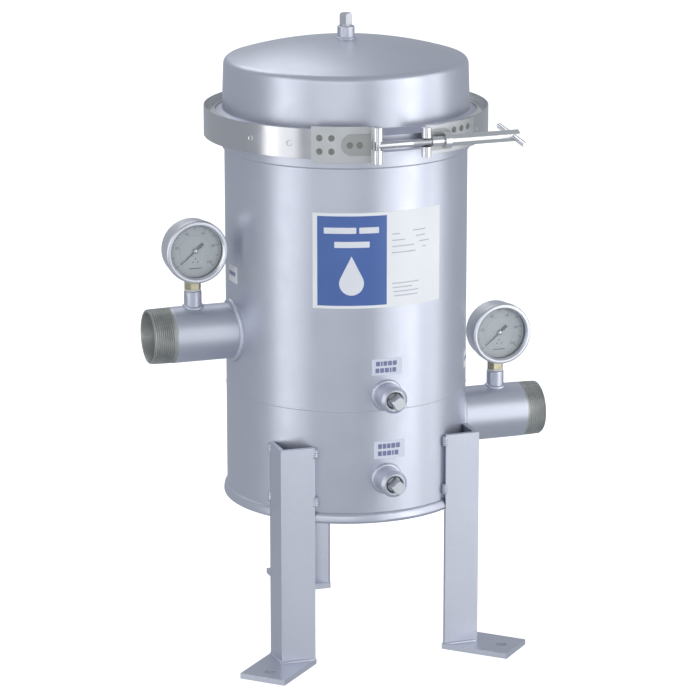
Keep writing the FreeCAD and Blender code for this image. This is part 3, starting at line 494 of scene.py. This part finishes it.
def threaded_pipe(side):
    """The whole pipe, with a real tapered pipe thread cut in its end."""
    node = f"{side}_pipe"
    low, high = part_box(node)
    centre = (low + high) / 2
    outer = (high.z - low.z) / 2
    near, far = sorted((abs(low.x), abs(high.x)))
    direction = SIDES[side]
    start = far - THREAD_LONG[side]
    stations = [near, near + 1 * MM, start - 8 * MM, start - 1 * MM]
    steps = int(THREAD_LONG[side] / PIPE_PITCH * THREAD_STEPS)
    stations += [start + THREAD_LONG[side] * i / steps for i in range(steps + 1)]
    rows = []
    for s in stations:
        past = max(0.0, s - start)
        crest = outer - past * PIPE_TAPER
        depth = PIPE_THREAD_DEPTH * min(1.0, past / RUN_OUT)
        limit = outer - 0.3 * MM - max(0.0, s - (far - PIPE_CHAMFER)) * 0.9
        row = []
        for j in range(PIPE_SIDES):
            flank = crest - depth * (1 - thread_rise(s, TURN * j / PIPE_SIDES, PIPE_PITCH))
            row.append((s, min(flank, limit if past else crest)))
        rows.append(row)
    for s, radius in ((far, PIPE_BORE + 0.6 * MM), (far - 1.2 * MM, PIPE_BORE), (near, PIPE_BORE)):
        rows.append([(s, radius)] * PIPE_SIDES)
    points = []
    for row in rows:
        for j, (s, radius) in enumerate(row):
            a = TURN * j / PIPE_SIDES
            points.append((direction * s, radius * math.sin(a), centre.z + radius * math.cos(a)))
    shape = Shape()
    shape.add(points, grid(len(rows), PIPE_SIDES, True, True))
    finish = pipe_finish(node, start - 0.4 * MM)
    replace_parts(piece(f"{side}_threaded_pipe", shape, finish, sharp=50.0), node)


for side in SIDES:
    threaded_pipe(side)


# ---- welds -----------------------------------------------------------------------------------------

# The radii of the beads.
PIPE_BEAD, COUPLING_BEAD, DRAIN_BEAD = 3.9 * MM, 2.1 * MM, 2.9 * MM
TOE_BEAD, FOOT_BEAD = 3.1 * MM, 2.0 * MM
SEAM_BEAD, FLANGE_BEAD, VENT_BEAD = 1.6 * MM, 1.9 * MM, 1.7 * MM

GAUGE_COUPLING = 9.5 * MM
LEG_HEEL = 158.6 * MM
LEG_RUN = 38.1 * MM / math.sqrt(2)
# Where the beads along a leg's toes begin and end, below the leg's top.
TOE_WELDS = ((12.5 * MM, 1.0 * MM), (66 * MM, 54 * MM))


def pipe_weld(shape, side):
    low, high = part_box(f"{side}_pipe")
    radius = (high.z - low.z) / 2
    level = (high.z + low.z) / 2
    path = []
    for i in range(240):
        a = TURN * i / 240
        y = radius * math.sin(a)
        path.append(Vector((SIDES[side] * math.sqrt(SHELL ** 2 - y ** 2), y, level + radius * math.cos(a))))
    bead(shape, path, Vector((1, 0, 0)), PIPE_BEAD)


def gauge_coupling_weld(shape, side):
    """Round the coupling where it stands on the pipe."""
    pipe = (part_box(f"{side}_pipe")[1].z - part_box(f"{side}_pipe")[0].z) / 2
    level = middle(f"{side}_pipe").z
    centre = middle(f"{side}_gauge_socket").x
    path = []
    for i in range(96):
        a = TURN * i / 96
        y = GAUGE_COUPLING * math.sin(a)
        path.append(Vector((centre + GAUGE_COUPLING * math.cos(a), y, level + math.sqrt(pipe ** 2 - y ** 2))))
    bead(shape, path, UP, COUPLING_BEAD)


def drain_weld(shape, plug):
    level = middle(plug).z
    radius = half_size("drain_couplings").x
    path = []
    for i in range(120):
        a = TURN * i / 120
        x = radius * math.cos(a)
        path.append(Vector((x, -math.sqrt(SHELL ** 2 - x ** 2), level + radius * math.sin(a))))
    bead(shape, path, Vector((0, 1, 0)), DRAIN_BEAD)


def leg_welds(shape, name, azimuth):
    """Short beads between each toe of the angle iron and the shell, and a fillet along its foot."""
    low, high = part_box(f"leg_{name}")
    out = at(azimuth, 1.0, 0.0)
    across = UP.cross(out)
    for sign in (-1, 1):
        toe = out * (LEG_HEEL - LEG_RUN - 1.4 * MM) + across * sign * (LEG_RUN - 0.5 * MM)
        for first, last in TOE_WELDS:
            bottom, top = high.z - first, high.z - last
            path = [toe + UP * (bottom + (top - bottom) * i / 24) for i in range(25)]
            bead(shape, path, out, TOE_BEAD, closed=False, ripple=0.09)
        start = out * (LEG_HEEL - LEG_RUN) + across * sign * LEG_RUN
        path = [start.lerp(out * LEG_HEEL, i / 40) + UP * low.z for i in range(41)]
        bead(shape, path, UP, FOOT_BEAD, closed=False, ripple=0.09)


WELDS = ("pipe_welds", "coupling_welds", "drain_welds", "leg_welds", "seam_welds", "flange_weld", "vent_weld")
weld_shapes = {name: Shape() for name in WELDS}
for side in SIDES:
    pipe_weld(weld_shapes["pipe_welds"], side)
    gauge_coupling_weld(weld_shapes["coupling_welds"], side)
for plug in ("dirty_drain_plug", "clean_drain_plug"):
    drain_weld(weld_shapes["drain_welds"], plug)
for name, azimuth in LEGS.items():
    leg_welds(weld_shapes["leg_welds"], name, azimuth)
seam_path = loop_path(UP * SEAM_LEVEL, UP, SHELL - 1.25 * MM, 420)
bead(weld_shapes["seam_welds"], seam_path, UP, SEAM_BEAD, ripple=0.05)
flange_path = loop_path(UP * SHELL_HIGH.z, UP, SHELL - 0.6 * MM, 420)
bead(weld_shapes["flange_weld"], flange_path, UP, FLANGE_BEAD, ripple=0.03)
vent_path = loop_path(UP * (LID_TOP + 0.2 * MM), UP, half_size("vent_coupling").x, 72)
bead(weld_shapes["vent_weld"], vent_path, UP, VENT_BEAD)
for name, shape in weld_shapes.items():
    piece(name, shape, FINISHES["vessel_silver"])


# ---- clamp details ---------------------------------------------------------------------------------

# A spot weld's section, in millimetres from its axis and above the surface.
SPOT_PROFILE = ((0.0, 0.16), (0.9, 0.12), (1.6, 0.03), (2.2, 0.06), (2.6, 0.22), (3.0, 0.20), (3.4, 0.02),
                (3.4, -0.5), (0.0, -0.5))


def spot_weld(shape, azimuth, radius, level):
    """The ringed dish that a spot welder's electrode leaves."""
    lathe(shape, in_mm(SPOT_PROFILE), at(azimuth, radius, level), at(azimuth, 1.0, 0.0), 28)


# Degrees round from the middle of the closure.
BAND_SPOTS = (44.2, 62.2, 80.2, 98.2, 116.2, 134.2, 152.2)
PLATE_SPOTS = {"left": (27.1, 31.8), "right": (25.4, 29.9, 34.2)}
TONGUE_SPOTS = (16.3, 20.0)
PLATE_ROW = 7.0 * MM

for half, sign in (("left", -1), ("right", 1)):
    shape = Shape()
    for azimuth in BAND_SPOTS:
        spot_weld(shape, sign * azimuth + CLOSURE_TURN, BAND, JOINT_LEVEL)
    piece(f"{half}_band_spot_welds", shape, BAND_STEEL, f"{half}_clamp_half")
    shape = Shape()
    for azimuth in PLATE_SPOTS[half]:
        for rise in (-PLATE_ROW, PLATE_ROW):
            spot_weld(shape, sign * azimuth + CLOSURE_TURN, BAND + STRAP, JOINT_LEVEL + rise)
    for azimuth in TONGUE_SPOTS:
        spot_weld(shape, sign * azimuth + CLOSURE_TURN, BAND + 2 * STRAP, JOINT_LEVEL)
    piece(f"{half}_strap_spot_welds", shape, WELD_TINT, f"{half}_clamp_half")

BOLT_PITCH = 25.4 / 18 * MM
BOLT_THREAD_DEPTH = 0.55 * MM
BOLT_HEAD, BOLT_SHANK = 3.6 * MM, 3.97 * MM
BOLT_PLAIN = 38 * MM
BOLT_SIDES = 40


def threaded_bolt():
    """The T-headed swing bolt: a round cross head, a plain shank, then thread to its tip."""
    low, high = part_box("tee_bolt")
    pin = Vector(next(j["pos_m"] for j in frame["joints"] if j["name"] == "bolt_swing"))
    pin.z = JOINT_LEVEL
    tall = (high.z - low.z) / 2
    reach = (high.x - pin.x) / BOLT_AXIS.x - BOLT_SHANK * abs(BOLT_AXIS.y)
    worn = 0.5 * MM
    head = [(0, -tall), (BOLT_HEAD - worn, -tall), (BOLT_HEAD, -tall + worn), (BOLT_HEAD, tall - worn),
            (BOLT_HEAD - worn, tall), (0, tall)]
    shape = Shape()
    lathe(shape, head, pin, UP, BOLT_SIDES)
    threaded = reach - BOLT_PLAIN
    steps = int(threaded / BOLT_PITCH * THREAD_STEPS)
    stations = [0.0, BOLT_PLAIN] + [BOLT_PLAIN + threaded * (i + 1) / steps for i in range(steps)]
    second = BOLT_AXIS.cross(UP)
    points = []
    for s in stations:
        depth = BOLT_THREAD_DEPTH * min(1.0, max(0.0, s - BOLT_PLAIN) / BOLT_PITCH)
        tip = max(0.0, s - (reach - 1.0 * MM)) * 0.8
        for j in range(BOLT_SIDES):
            a = TURN * j / BOLT_SIDES
            radius = BOLT_SHANK - depth * (1 - thread_rise(s, a, BOLT_PITCH)) - tip
            points.append(pin + BOLT_AXIS * s + (UP * math.cos(a) + second * math.sin(a)) * radius)
    end = tuple(range(BOLT_SIDES))
    shape.add(points, grid(len(stations), BOLT_SIDES, False, True) + [end])
    shape.add(points[-BOLT_SIDES:], [end])
    made = piece("threaded_tee_bolt", shape, BOLT_STEEL, "swing_bolt", sharp=50.0)
    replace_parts(made, "tee_bolt")


threaded_bolt()


# ---- gauges ----------------------------------------------------------------------------------------

SCALE_START, SCALE_SWEEP = 221.0, -262.0
DIAL_TOP = 100
PRINT = 0.06 * MM

# The dial's print: radii of its arcs, ticks and numerals, the ticks' half widths, and the small dots' places.
SCALE_RADIUS, SCALE_LINE = 26.6 * MM, 0.3 * MM
LONG_TICK, SHORT_TICK = (23.4 * MM, 0.30 * MM), (24.9 * MM, 0.13 * MM)
INNER_RADIUS, INNER_LINE = 17.0 * MM, 0.15 * MM
NUMERAL_RADIUS, NUMERAL_SIZE = 20.4 * MM, 4.6 * MM
DOT_RADIUS = 0.75 * MM
DOTS = ((-2.6 * MM, -12.2 * MM), (2.6 * MM, -12.2 * MM), (0.0, -8.6 * MM))

GASKET_INNER, GASKET_OUTER = 28.5 * MM, 30.8 * MM
HUB_PROFILE = ((0, 0.75), (0.9, 0.7), (1.7, 0.45), (2.15, 0.05), (2.15, -0.3), (0, -0.3))
FORWARD = Vector((0, -1, 0))


def dial_place(side):
    """Where (u, v) on a dial lies, u to the right and v upwards from its centre, w towards the viewer."""
    low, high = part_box(f"{side}_gauge_dial")
    centre = (low + high) / 2
    return lambda u, v, w: (centre.x + u, low.y - w, centre.z + v)


def scale_angle(reading):
    return math.radians(SCALE_START + SCALE_SWEEP * reading / DIAL_TOP)


def tick(shape, where, reading, inner, outer, width):
    a = scale_angle(reading)
    out, over = Vector((math.cos(a), math.sin(a))), Vector((-math.sin(a), math.cos(a)))
    corners = [out * inner - over * width, out * outer - over * width, out * outer + over * width,
               out * inner + over * width]
    slab(shape, [tuple(c) for c in corners], PRINT, where)


def arc_band(shape, where, inner, outer, first, last, steps=60):
    points = []
    for i in range(steps + 1):
        a = scale_angle(first + (last - first) * i / steps)
        for radius, w in ((inner, 0.0), (outer, 0.0), (outer, PRINT), (inner, PRINT)):
            points.append(where(radius * math.cos(a), radius * math.sin(a), w))
    ends = [(0, 1, 2, 3), tuple(4 * steps + i for i in range(4))]
    shape.add(points, grid(steps + 1, 4, False, True) + ends)


def numeral(shape, where, text, u, v, size):
    """A printed number, centred on (u, v)."""
    curve = bpy.data.curves.new("numeral", "FONT")
    curve.body = text
    curve.size = size
    curve.align_x = "CENTER"
    curve.align_y = "CENTER"
    curve.resolution_u = 2
    curve.extrude = PRINT / 2
    holder = bpy.data.objects.new("numeral", curve)
    mesh = bpy.data.meshes.new_from_object(holder)
    shape.add([where(u + p.co.x, v + p.co.y, p.co.z + PRINT / 2) for p in mesh.vertices],
              [tuple(face.vertices) for face in mesh.polygons])
    bpy.data.objects.remove(holder)
    bpy.data.curves.remove(curve)
    bpy.data.meshes.remove(mesh)


def gauge_details(side):
    where = dial_place(side)
    low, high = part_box(f"{side}_gauge_dial")
    lens_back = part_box(f"{side}_gauge_lens")[1].y
    centre = (low + high) / 2
    shape = Shape()
    for reading in range(0, DIAL_TOP + 1, 2):
        inner, width = SHORT_TICK if reading % 10 else LONG_TICK
        tick(shape, where, reading, inner, SCALE_RADIUS, width)
    arc_band(shape, where, SCALE_RADIUS, SCALE_RADIUS + SCALE_LINE, 0, DIAL_TOP)
    arc_band(shape, where, INNER_RADIUS, INNER_RADIUS + INNER_LINE, 0, DIAL_TOP)
    for reading in range(0, DIAL_TOP + 1, 20):
        a = scale_angle(reading)
        u, v = NUMERAL_RADIUS * math.cos(a), NUMERAL_RADIUS * math.sin(a)
        numeral(shape, where, str(reading), u, v, NUMERAL_SIZE)
    slab(shape, rounded_bar(-7 * MM, -19.6 * MM, 14 * MM, 0.9 * MM), PRINT, where)
    ring = [(DOT_RADIUS * math.cos(TURN * i / 14), DOT_RADIUS * math.sin(TURN * i / 14)) for i in range(14)]
    for u, v in DOTS:
        slab(shape, [(u + x, v + y) for x, y in ring], PRINT, where)
    piece(f"{side}_dial_marks", shape, INK_BLACK)

    gasket = Shape()
    deep = low.y - lens_back - 0.1 * MM
    ring = [(GASKET_INNER, 0), (GASKET_OUTER, 0), (GASKET_OUTER, deep), (GASKET_INNER, deep)]
    lathe(gasket, ring, Vector((centre.x, low.y - 0.05 * MM, centre.z)), FORWARD, 96)
    piece(f"{side}_gauge_gasket", gasket, FINISHES["black_rubber"])

    cap = Shape()
    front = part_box(f"{side}_gauge_pointer")[0].y
    lathe(cap, in_mm(HUB_PROFILE), Vector((centre.x, front, centre.z)), FORWARD, 32)
    piece(f"{side}_pointer_hub", cap, FINISHES["polished_stainless"],
          f"{side}_pointer_body")


COUPLING_TALL = 17.0 * MM
TAPE_INNER, TAPE_OUTER, TAPE_TALL = 6.65 * MM, 9.0 * MM, 2.0 * MM


def tape_winding(shape, side):
    """Sealing tape squeezed out over the coupling, in uneven wraps that rise and fall a little."""
    centre = middle(f"{side}_gauge_socket")
    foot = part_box(f"{side}_pipe")[1].z + COUPLING_TALL
    sides, rows = 72, 9
    points = []
    for i in range(sides):
        a = TURN * i / sides
        lift = 0.12 * math.sin(3 * a) + 0.08 * math.sin(7 * a + 1.0)
        for j in range(rows):
            share = j / (rows - 1)
            bulge = math.sin(math.pi * share) ** 0.4 if 0 < j < rows - 1 else 0.0
            wraps = 0.16 * MM * math.sin(TURN * (3 * share + i / sides))
            radius = TAPE_OUTER - 1.1 * MM + 0.9 * MM * bulge + wraps * bulge
            height = foot + TAPE_TALL * (share * 0.96 + 0.02 + 0.05 * lift * bulge)
            points.append((centre.x + radius * math.cos(a), centre.y + radius * math.sin(a), height))
        x, y = centre.x + TAPE_INNER * math.cos(a), centre.y + TAPE_INNER * math.sin(a)
        points += [(x, y, foot + TAPE_TALL * 0.98), (x, y, foot + TAPE_TALL * 0.02)]
    shape.add(points, grid(sides, rows + 2, True, True))


tape = Shape()
for side in SIDES:
    gauge_details(side)
    tape_winding(tape, side)
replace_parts(piece("sealing_tape", tape, FINISHES["thread_tape"]), "thread_tape")


# ---- drain plugs' recess: a near-black ring of painted shade ---------------------------------------

RECESS_SHADE_PROFILE = ((7.6, 0.0), (8.95, 0.0), (8.95, 0.9), (8.3, 0.55), (7.6, 0.15))
RECESS_SHADE_DEPTH = 2.35 * MM

# A near-black ring of painted shade, laid in the recess round each drain plug.
recess_shade = Shape()
for plug in ("dirty_drain_plug", "clean_drain_plug"):
    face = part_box("drain_couplings")[0].y + RECESS_SHADE_DEPTH
    lathe(recess_shade, in_mm(RECESS_SHADE_PROFILE), Vector((0, face, middle(plug).z)), FORWARD, 48)
piece("plug_recess_painted_shade", recess_shade, RECESS_SHADE_FINISH)


# ---- labels ----------------------------------------------------------------------------------------

LABEL_FACE = SHELL + 0.3 * MM
INK = 0.05 * MM
BEND_STRIP = 3.0 * MM


def on_label(azimuth, level, lift=0.0):
    """Places on the shell: u along it to the right of an azimuth, v up from a level, w outwards."""
    return lambda u, v, w: at(azimuth + math.degrees(u / LABEL_FACE), LABEL_FACE + lift + w, level + v)


def bars(shape, rows, azimuth, level, lift=0.0):
    """Plain bars that stand for lines of print: (left, bottom, width, height) in millimetres."""
    where = on_label(azimuth, level, lift)
    for left, bottom, width, tall in rows:
        slab(shape, rounded_bar(left * MM, bottom * MM, width * MM, tall * MM), INK, where, BEND_STRIP)


def drop_outline(width, tall):
    """A water drop: a round bottom drawn up to a point."""
    radius = width / 2
    outline = [(0.0, tall)]
    for i in range(25):
        a = math.radians(30 - 240 * i / 24)
        outline.append((radius * math.cos(a), radius + radius * math.sin(a)))
    return outline


BLOCK_GAP = 0.9


def word_blocks(left, bottom, widths, tall):
    rows = []
    for width in widths:
        rows.append((left, bottom, width, tall))
        left += width + BLOCK_GAP
    return rows


PANEL_LEFT, PANEL_RIGHT = -32.6, -0.3
PANEL_BASE, PANEL_TOP = 396.4 * MM, 491.9 * MM

panel = Shape()
panel_wide = math.radians(PANEL_RIGHT - PANEL_LEFT) * LABEL_FACE
slab(panel, [(0, 0), (panel_wide, 0), (panel_wide, PANEL_TOP - PANEL_BASE), (0, PANEL_TOP - PANEL_BASE)], INK,
     on_label(PANEL_LEFT, PANEL_BASE), BEND_STRIP)
piece("nameplate_blue_panel", panel, BLUE_PRINT)

mark = Shape()
bars(mark, [(7, 77, 34, 6.5), (44, 77, 21, 6.5), (18, 62, 37, 6.5)], PANEL_LEFT, PANEL_BASE, INK)
slab(mark, [(u + 36 * MM, v + 11 * MM) for u, v in drop_outline(26 * MM, 42 * MM)], INK,
     on_label(PANEL_LEFT, PANEL_BASE, INK), BEND_STRIP)
piece("nameplate_mark", mark, INK_WHITE)

# Each block of small print, in millimetres: its left edge, how far each line steps right, its top line's
# level, the drop from line to line, and the lines' widths.
SMALL_PRINT = ((5.2, 0.0, 74.0, 6.6, (9, 15, 26, 28)), (29.5, 4.0, 76.0, 6.2, (16.5, 12, 13.5, 5.5)),
               (5.2, 0.8, 21.3, 4.5, (32, 23, 30, 28)))

details = Shape()
for left, step, top_line, drop, widths in SMALL_PRINT:
    for i, width in enumerate(widths):
        bars(details, [(left + step * i, top_line - drop * i, width, 1.2)], 0.0, PANEL_BASE)
piece("nameplate_lines", details, INK_GREY)

# Each row of plain blocks on the small labels: its left end, its base, the blocks' widths and their height in
# millimetres, then the azimuth and the level in millimetres that these count from.
BLOCK_ROWS = (
    (-12.5, 9.9, (4.4, 2.0, 4.2, 4.4, 4.6), 4.9, 0.1, 320.2),
    (-13.0, 2.6, (4.2, 4.2, 4.6, 2.0, 4.4), 4.9, 0.1, 320.2),
    (-12.8, 10.8, (4.2, 3.8, 4.0, 4.6, 4.4), 5.2, 1.35, 228.8),
    (-13.0, 3.0, (4.2, 4.2, 4.6, 2.0, 4.4), 5.2, 1.35, 228.8),
    (-10.5, 7.0, (4.0, 4.0, 4.0, 4.0), 4.5, -87.5, 403),
    (-10.5, 7.0, (4.0, 4.0, 4.0, 4.0), 4.5, 63.5, 303),
)

words = Shape()
for left, base, widths, tall, azimuth, level in BLOCK_ROWS:
    bars(words, word_blocks(left, base, widths, tall), azimuth, level * MM)
piece("small_label_print", words, INK_BLUE)


# ---- filter cartridge ------------------------------------------------------------------------------

PLEATS = 78
PLEAT_SHEET = 0.9 * MM
PLEAT_INNER = 50.0 * MM
TIP_POINTS = 5
CORE_HOLES = (48, 34)
CORE_WALL = 1.6 * MM
CORE_MARGIN = 1.5 * MM


def pleated_media():
    """The folded filter sheet: radial pleats with round tips, joined in a ring."""
    low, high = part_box("cartridge_media")
    outer = high.x - PLEAT_SHEET
    inner = PLEAT_INNER + PLEAT_SHEET
    line = []
    for i in range(PLEATS):
        for radius, phase, bulge in ((outer, 0.25, 1), (inner, 0.75, -1)):
            tip = TURN * (i + phase) / PLEATS
            half = TURN / PLEATS / 7
            round_tip = radius * half * 1.2
            for j in range(TIP_POINTS):
                share = 2 * j / (TIP_POINTS - 1) - 1
                r = radius - bulge * round_tip * (1 - math.sqrt(1 - 0.98 * share * share))
                line.append((r * math.cos(tip + half * share), r * math.sin(tip + half * share)))
    count = len(line)
    points = []
    for i, (x, y) in enumerate(line):
        ahead, behind = line[(i + 1) % count], line[i - 1]
        normal = Vector((ahead[1] - behind[1], behind[0] - ahead[0])).normalized() * PLEAT_SHEET / 2
        for sign, level in ((1, low.z), (1, high.z), (-1, high.z), (-1, low.z)):
            points.append((x + sign * normal.x, y + sign * normal.y, level))
    shape = Shape()
    shape.add(points, grid(count, 4, True, True))
    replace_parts(piece("pleated_media", shape, FINISHES["filter_media"]), "cartridge_media")


def perforated_core():
    """The centre tube, pierced all over with square holes: a ring of framed cells, row on row."""
    low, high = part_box("cartridge_core")
    around, rows = CORE_HOLES
    wide, tall = TURN / around, (high.z - low.z) / rows
    sides = []
    for k in range(4):
        n = (k + 1) % 4
        sides += [(k, n, 4 + n, 4 + k), (8 + k, 8 + n, 12 + n, 12 + k), (4 + k, 4 + n, 12 + n, 12 + k)]
    ends = {0: [(0, 1, 9, 8)], rows - 1: [(2, 3, 11, 10)]}
    shape = Shape()
    for j in range(rows):
        for i in range(around):
            points = []
            for radius in (high.x, high.x - CORE_WALL):
                for margin in (0.0, CORE_MARGIN):
                    left, right = wide * i + margin / radius, wide * (i + 1) - margin / radius
                    bottom, top = low.z + tall * j + margin, low.z + tall * (j + 1) - margin
                    for a, level in ((left, bottom), (right, bottom), (right, top), (left, top)):
                        points.append((radius * math.cos(a), radius * math.sin(a), level))
            shape.add(points, ends.get(j, []) + sides)
    made = piece("perforated_core", shape, FINISHES["polished_stainless"])
    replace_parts(made, "cartridge_core")


pleated_media()
perforated_core()


# ---- studio ----------------------------------------------------------------------------------------

CAMERA_AZIMUTH = -19.336
CAMERA_DISTANCE = 3.5503
CAMERA_HEIGHT = 1.2323
CAMERA_PITCH = 14.483
CAMERA_YAW = -0.07
CAMERA_LENS = 173.46

camera = bpy.data.cameras.new("camera")
camera.lens = CAMERA_LENS
camera.sensor_width = 36.0
camera.clip_start, camera.clip_end = 0.05, 60.0
camera_object = bpy.data.objects.new("camera", camera)
camera_object.location = at(CAMERA_AZIMUTH, CAMERA_DISTANCE, CAMERA_HEIGHT)
camera_object.rotation_euler = (math.radians(90 - CAMERA_PITCH), 0, math.radians(CAMERA_AZIMUTH + CAMERA_YAW))
bpy.context.scene.collection.objects.link(camera_object)
bpy.context.scene.camera = camera_object


def studio_finish(name, colour, glow):
    n = Nodes(name)
    tone = n.mixed(n.ranged(n.noise(0.8, 2.0), 0, 1), scaled(colour, 0.99), colour)
    return n.finish(Base_Color=tone, Roughness=0.9, Emission_Color=(1, 1, 1, 1), Emission_Strength=glow)


def stage_surface(name, profile, material):
    """A turned part of the studio that the camera sees, but that lights and mirrors nothing."""
    shape = Shape()
    segments = 96
    points = []
    for i in range(segments):
        a = TURN * i / segments
        points += [(r * math.cos(a), r * math.sin(a), h) for r, h in profile]
    shape.add(points, grid(segments, len(profile), True, False))
    mesh = bpy.data.meshes.new(name)
    mesh.from_pydata(shape.points, [], shape.faces)
    mesh.shade_smooth()
    mesh.materials.append(material)
    made = bpy.data.objects.new(name, mesh)
    bpy.context.scene.collection.objects.link(made)
    made.visible_glossy = False
    made.visible_diffuse = False
    return made


STUDIO_GREY = (0.86, 0.87, 0.88)

floor_level = cad_low.z - 0.2 * MM
floor_profile = [(0.001, floor_level), (0.5, floor_level), (2.0, floor_level), (9.0, floor_level)]
stage_surface("floor", floor_profile, studio_finish("pale_floor", STUDIO_GREY, 0.78))
wall_profile = [(9.0, floor_level), (9.6, floor_level + 0.15), (9.95, floor_level + 0.6),
                (10.0, floor_level + 1.5), (10.0, 9.0)]
backdrop = stage_surface("backdrop", wall_profile, studio_finish("pale_backdrop", STUDIO_GREY, 0.9))
backdrop.visible_shadow = False

AIM = Vector((0, 0, 0.38))


def softbox(name, azimuth, distance, level, width, tall, power):
    light = bpy.data.lights.new(name, "AREA")
    light.shape = "RECTANGLE"
    light.size = width
    light.size_y = tall
    light.energy = power
    made = bpy.data.objects.new(name, light)
    made.location = at(azimuth, distance, level)
    aim = AIM - made.location
    made.rotation_euler = aim.to_track_quat("-Z", "Y").to_euler()
    made.visible_camera = False
    bpy.context.scene.collection.objects.link(made)


# Each softbox: degrees round from the camera, distance and level, width, height and power.
SOFTBOXES = (
    ("left_wide", -52, 2.4, 0.6, 1.3, 2.6, 9.7),
    ("left_narrow", -61, 2.4, 0.6, 0.5, 2.6, 2.8),
    ("right_wide", 52, 2.4, 0.6, 1.9, 2.6, 15.8),
    ("right_narrow", 63, 2.4, 0.6, 0.8, 2.6, 6.0),
    ("right_edge", 90, 2.4, 0.6, 0.6, 2.6, 7.5),
    ("front_fill", -8, 4.4, 0.9, 3.4, 2.2, 23.3),
    ("top_softbox", -150, 2.0, 2.6, 2.0, 1.6, 12.6),
)
for name, azimuth, *setting in SOFTBOXES:
    softbox(name, CAMERA_AZIMUTH + azimuth, *setting)

world = bpy.data.worlds.new("studio_light")
world.use_nodes = True
sky = world.node_tree.nodes["Background"].inputs
sky["Color"].default_value = (0.86, 0.92, 1.0, 1)
sky["Strength"].default_value = 0.47
bpy.context.scene.world = world
bpy.context.scene.view_settings.view_transform = "Standard"

bpy.context.view_layer.update()
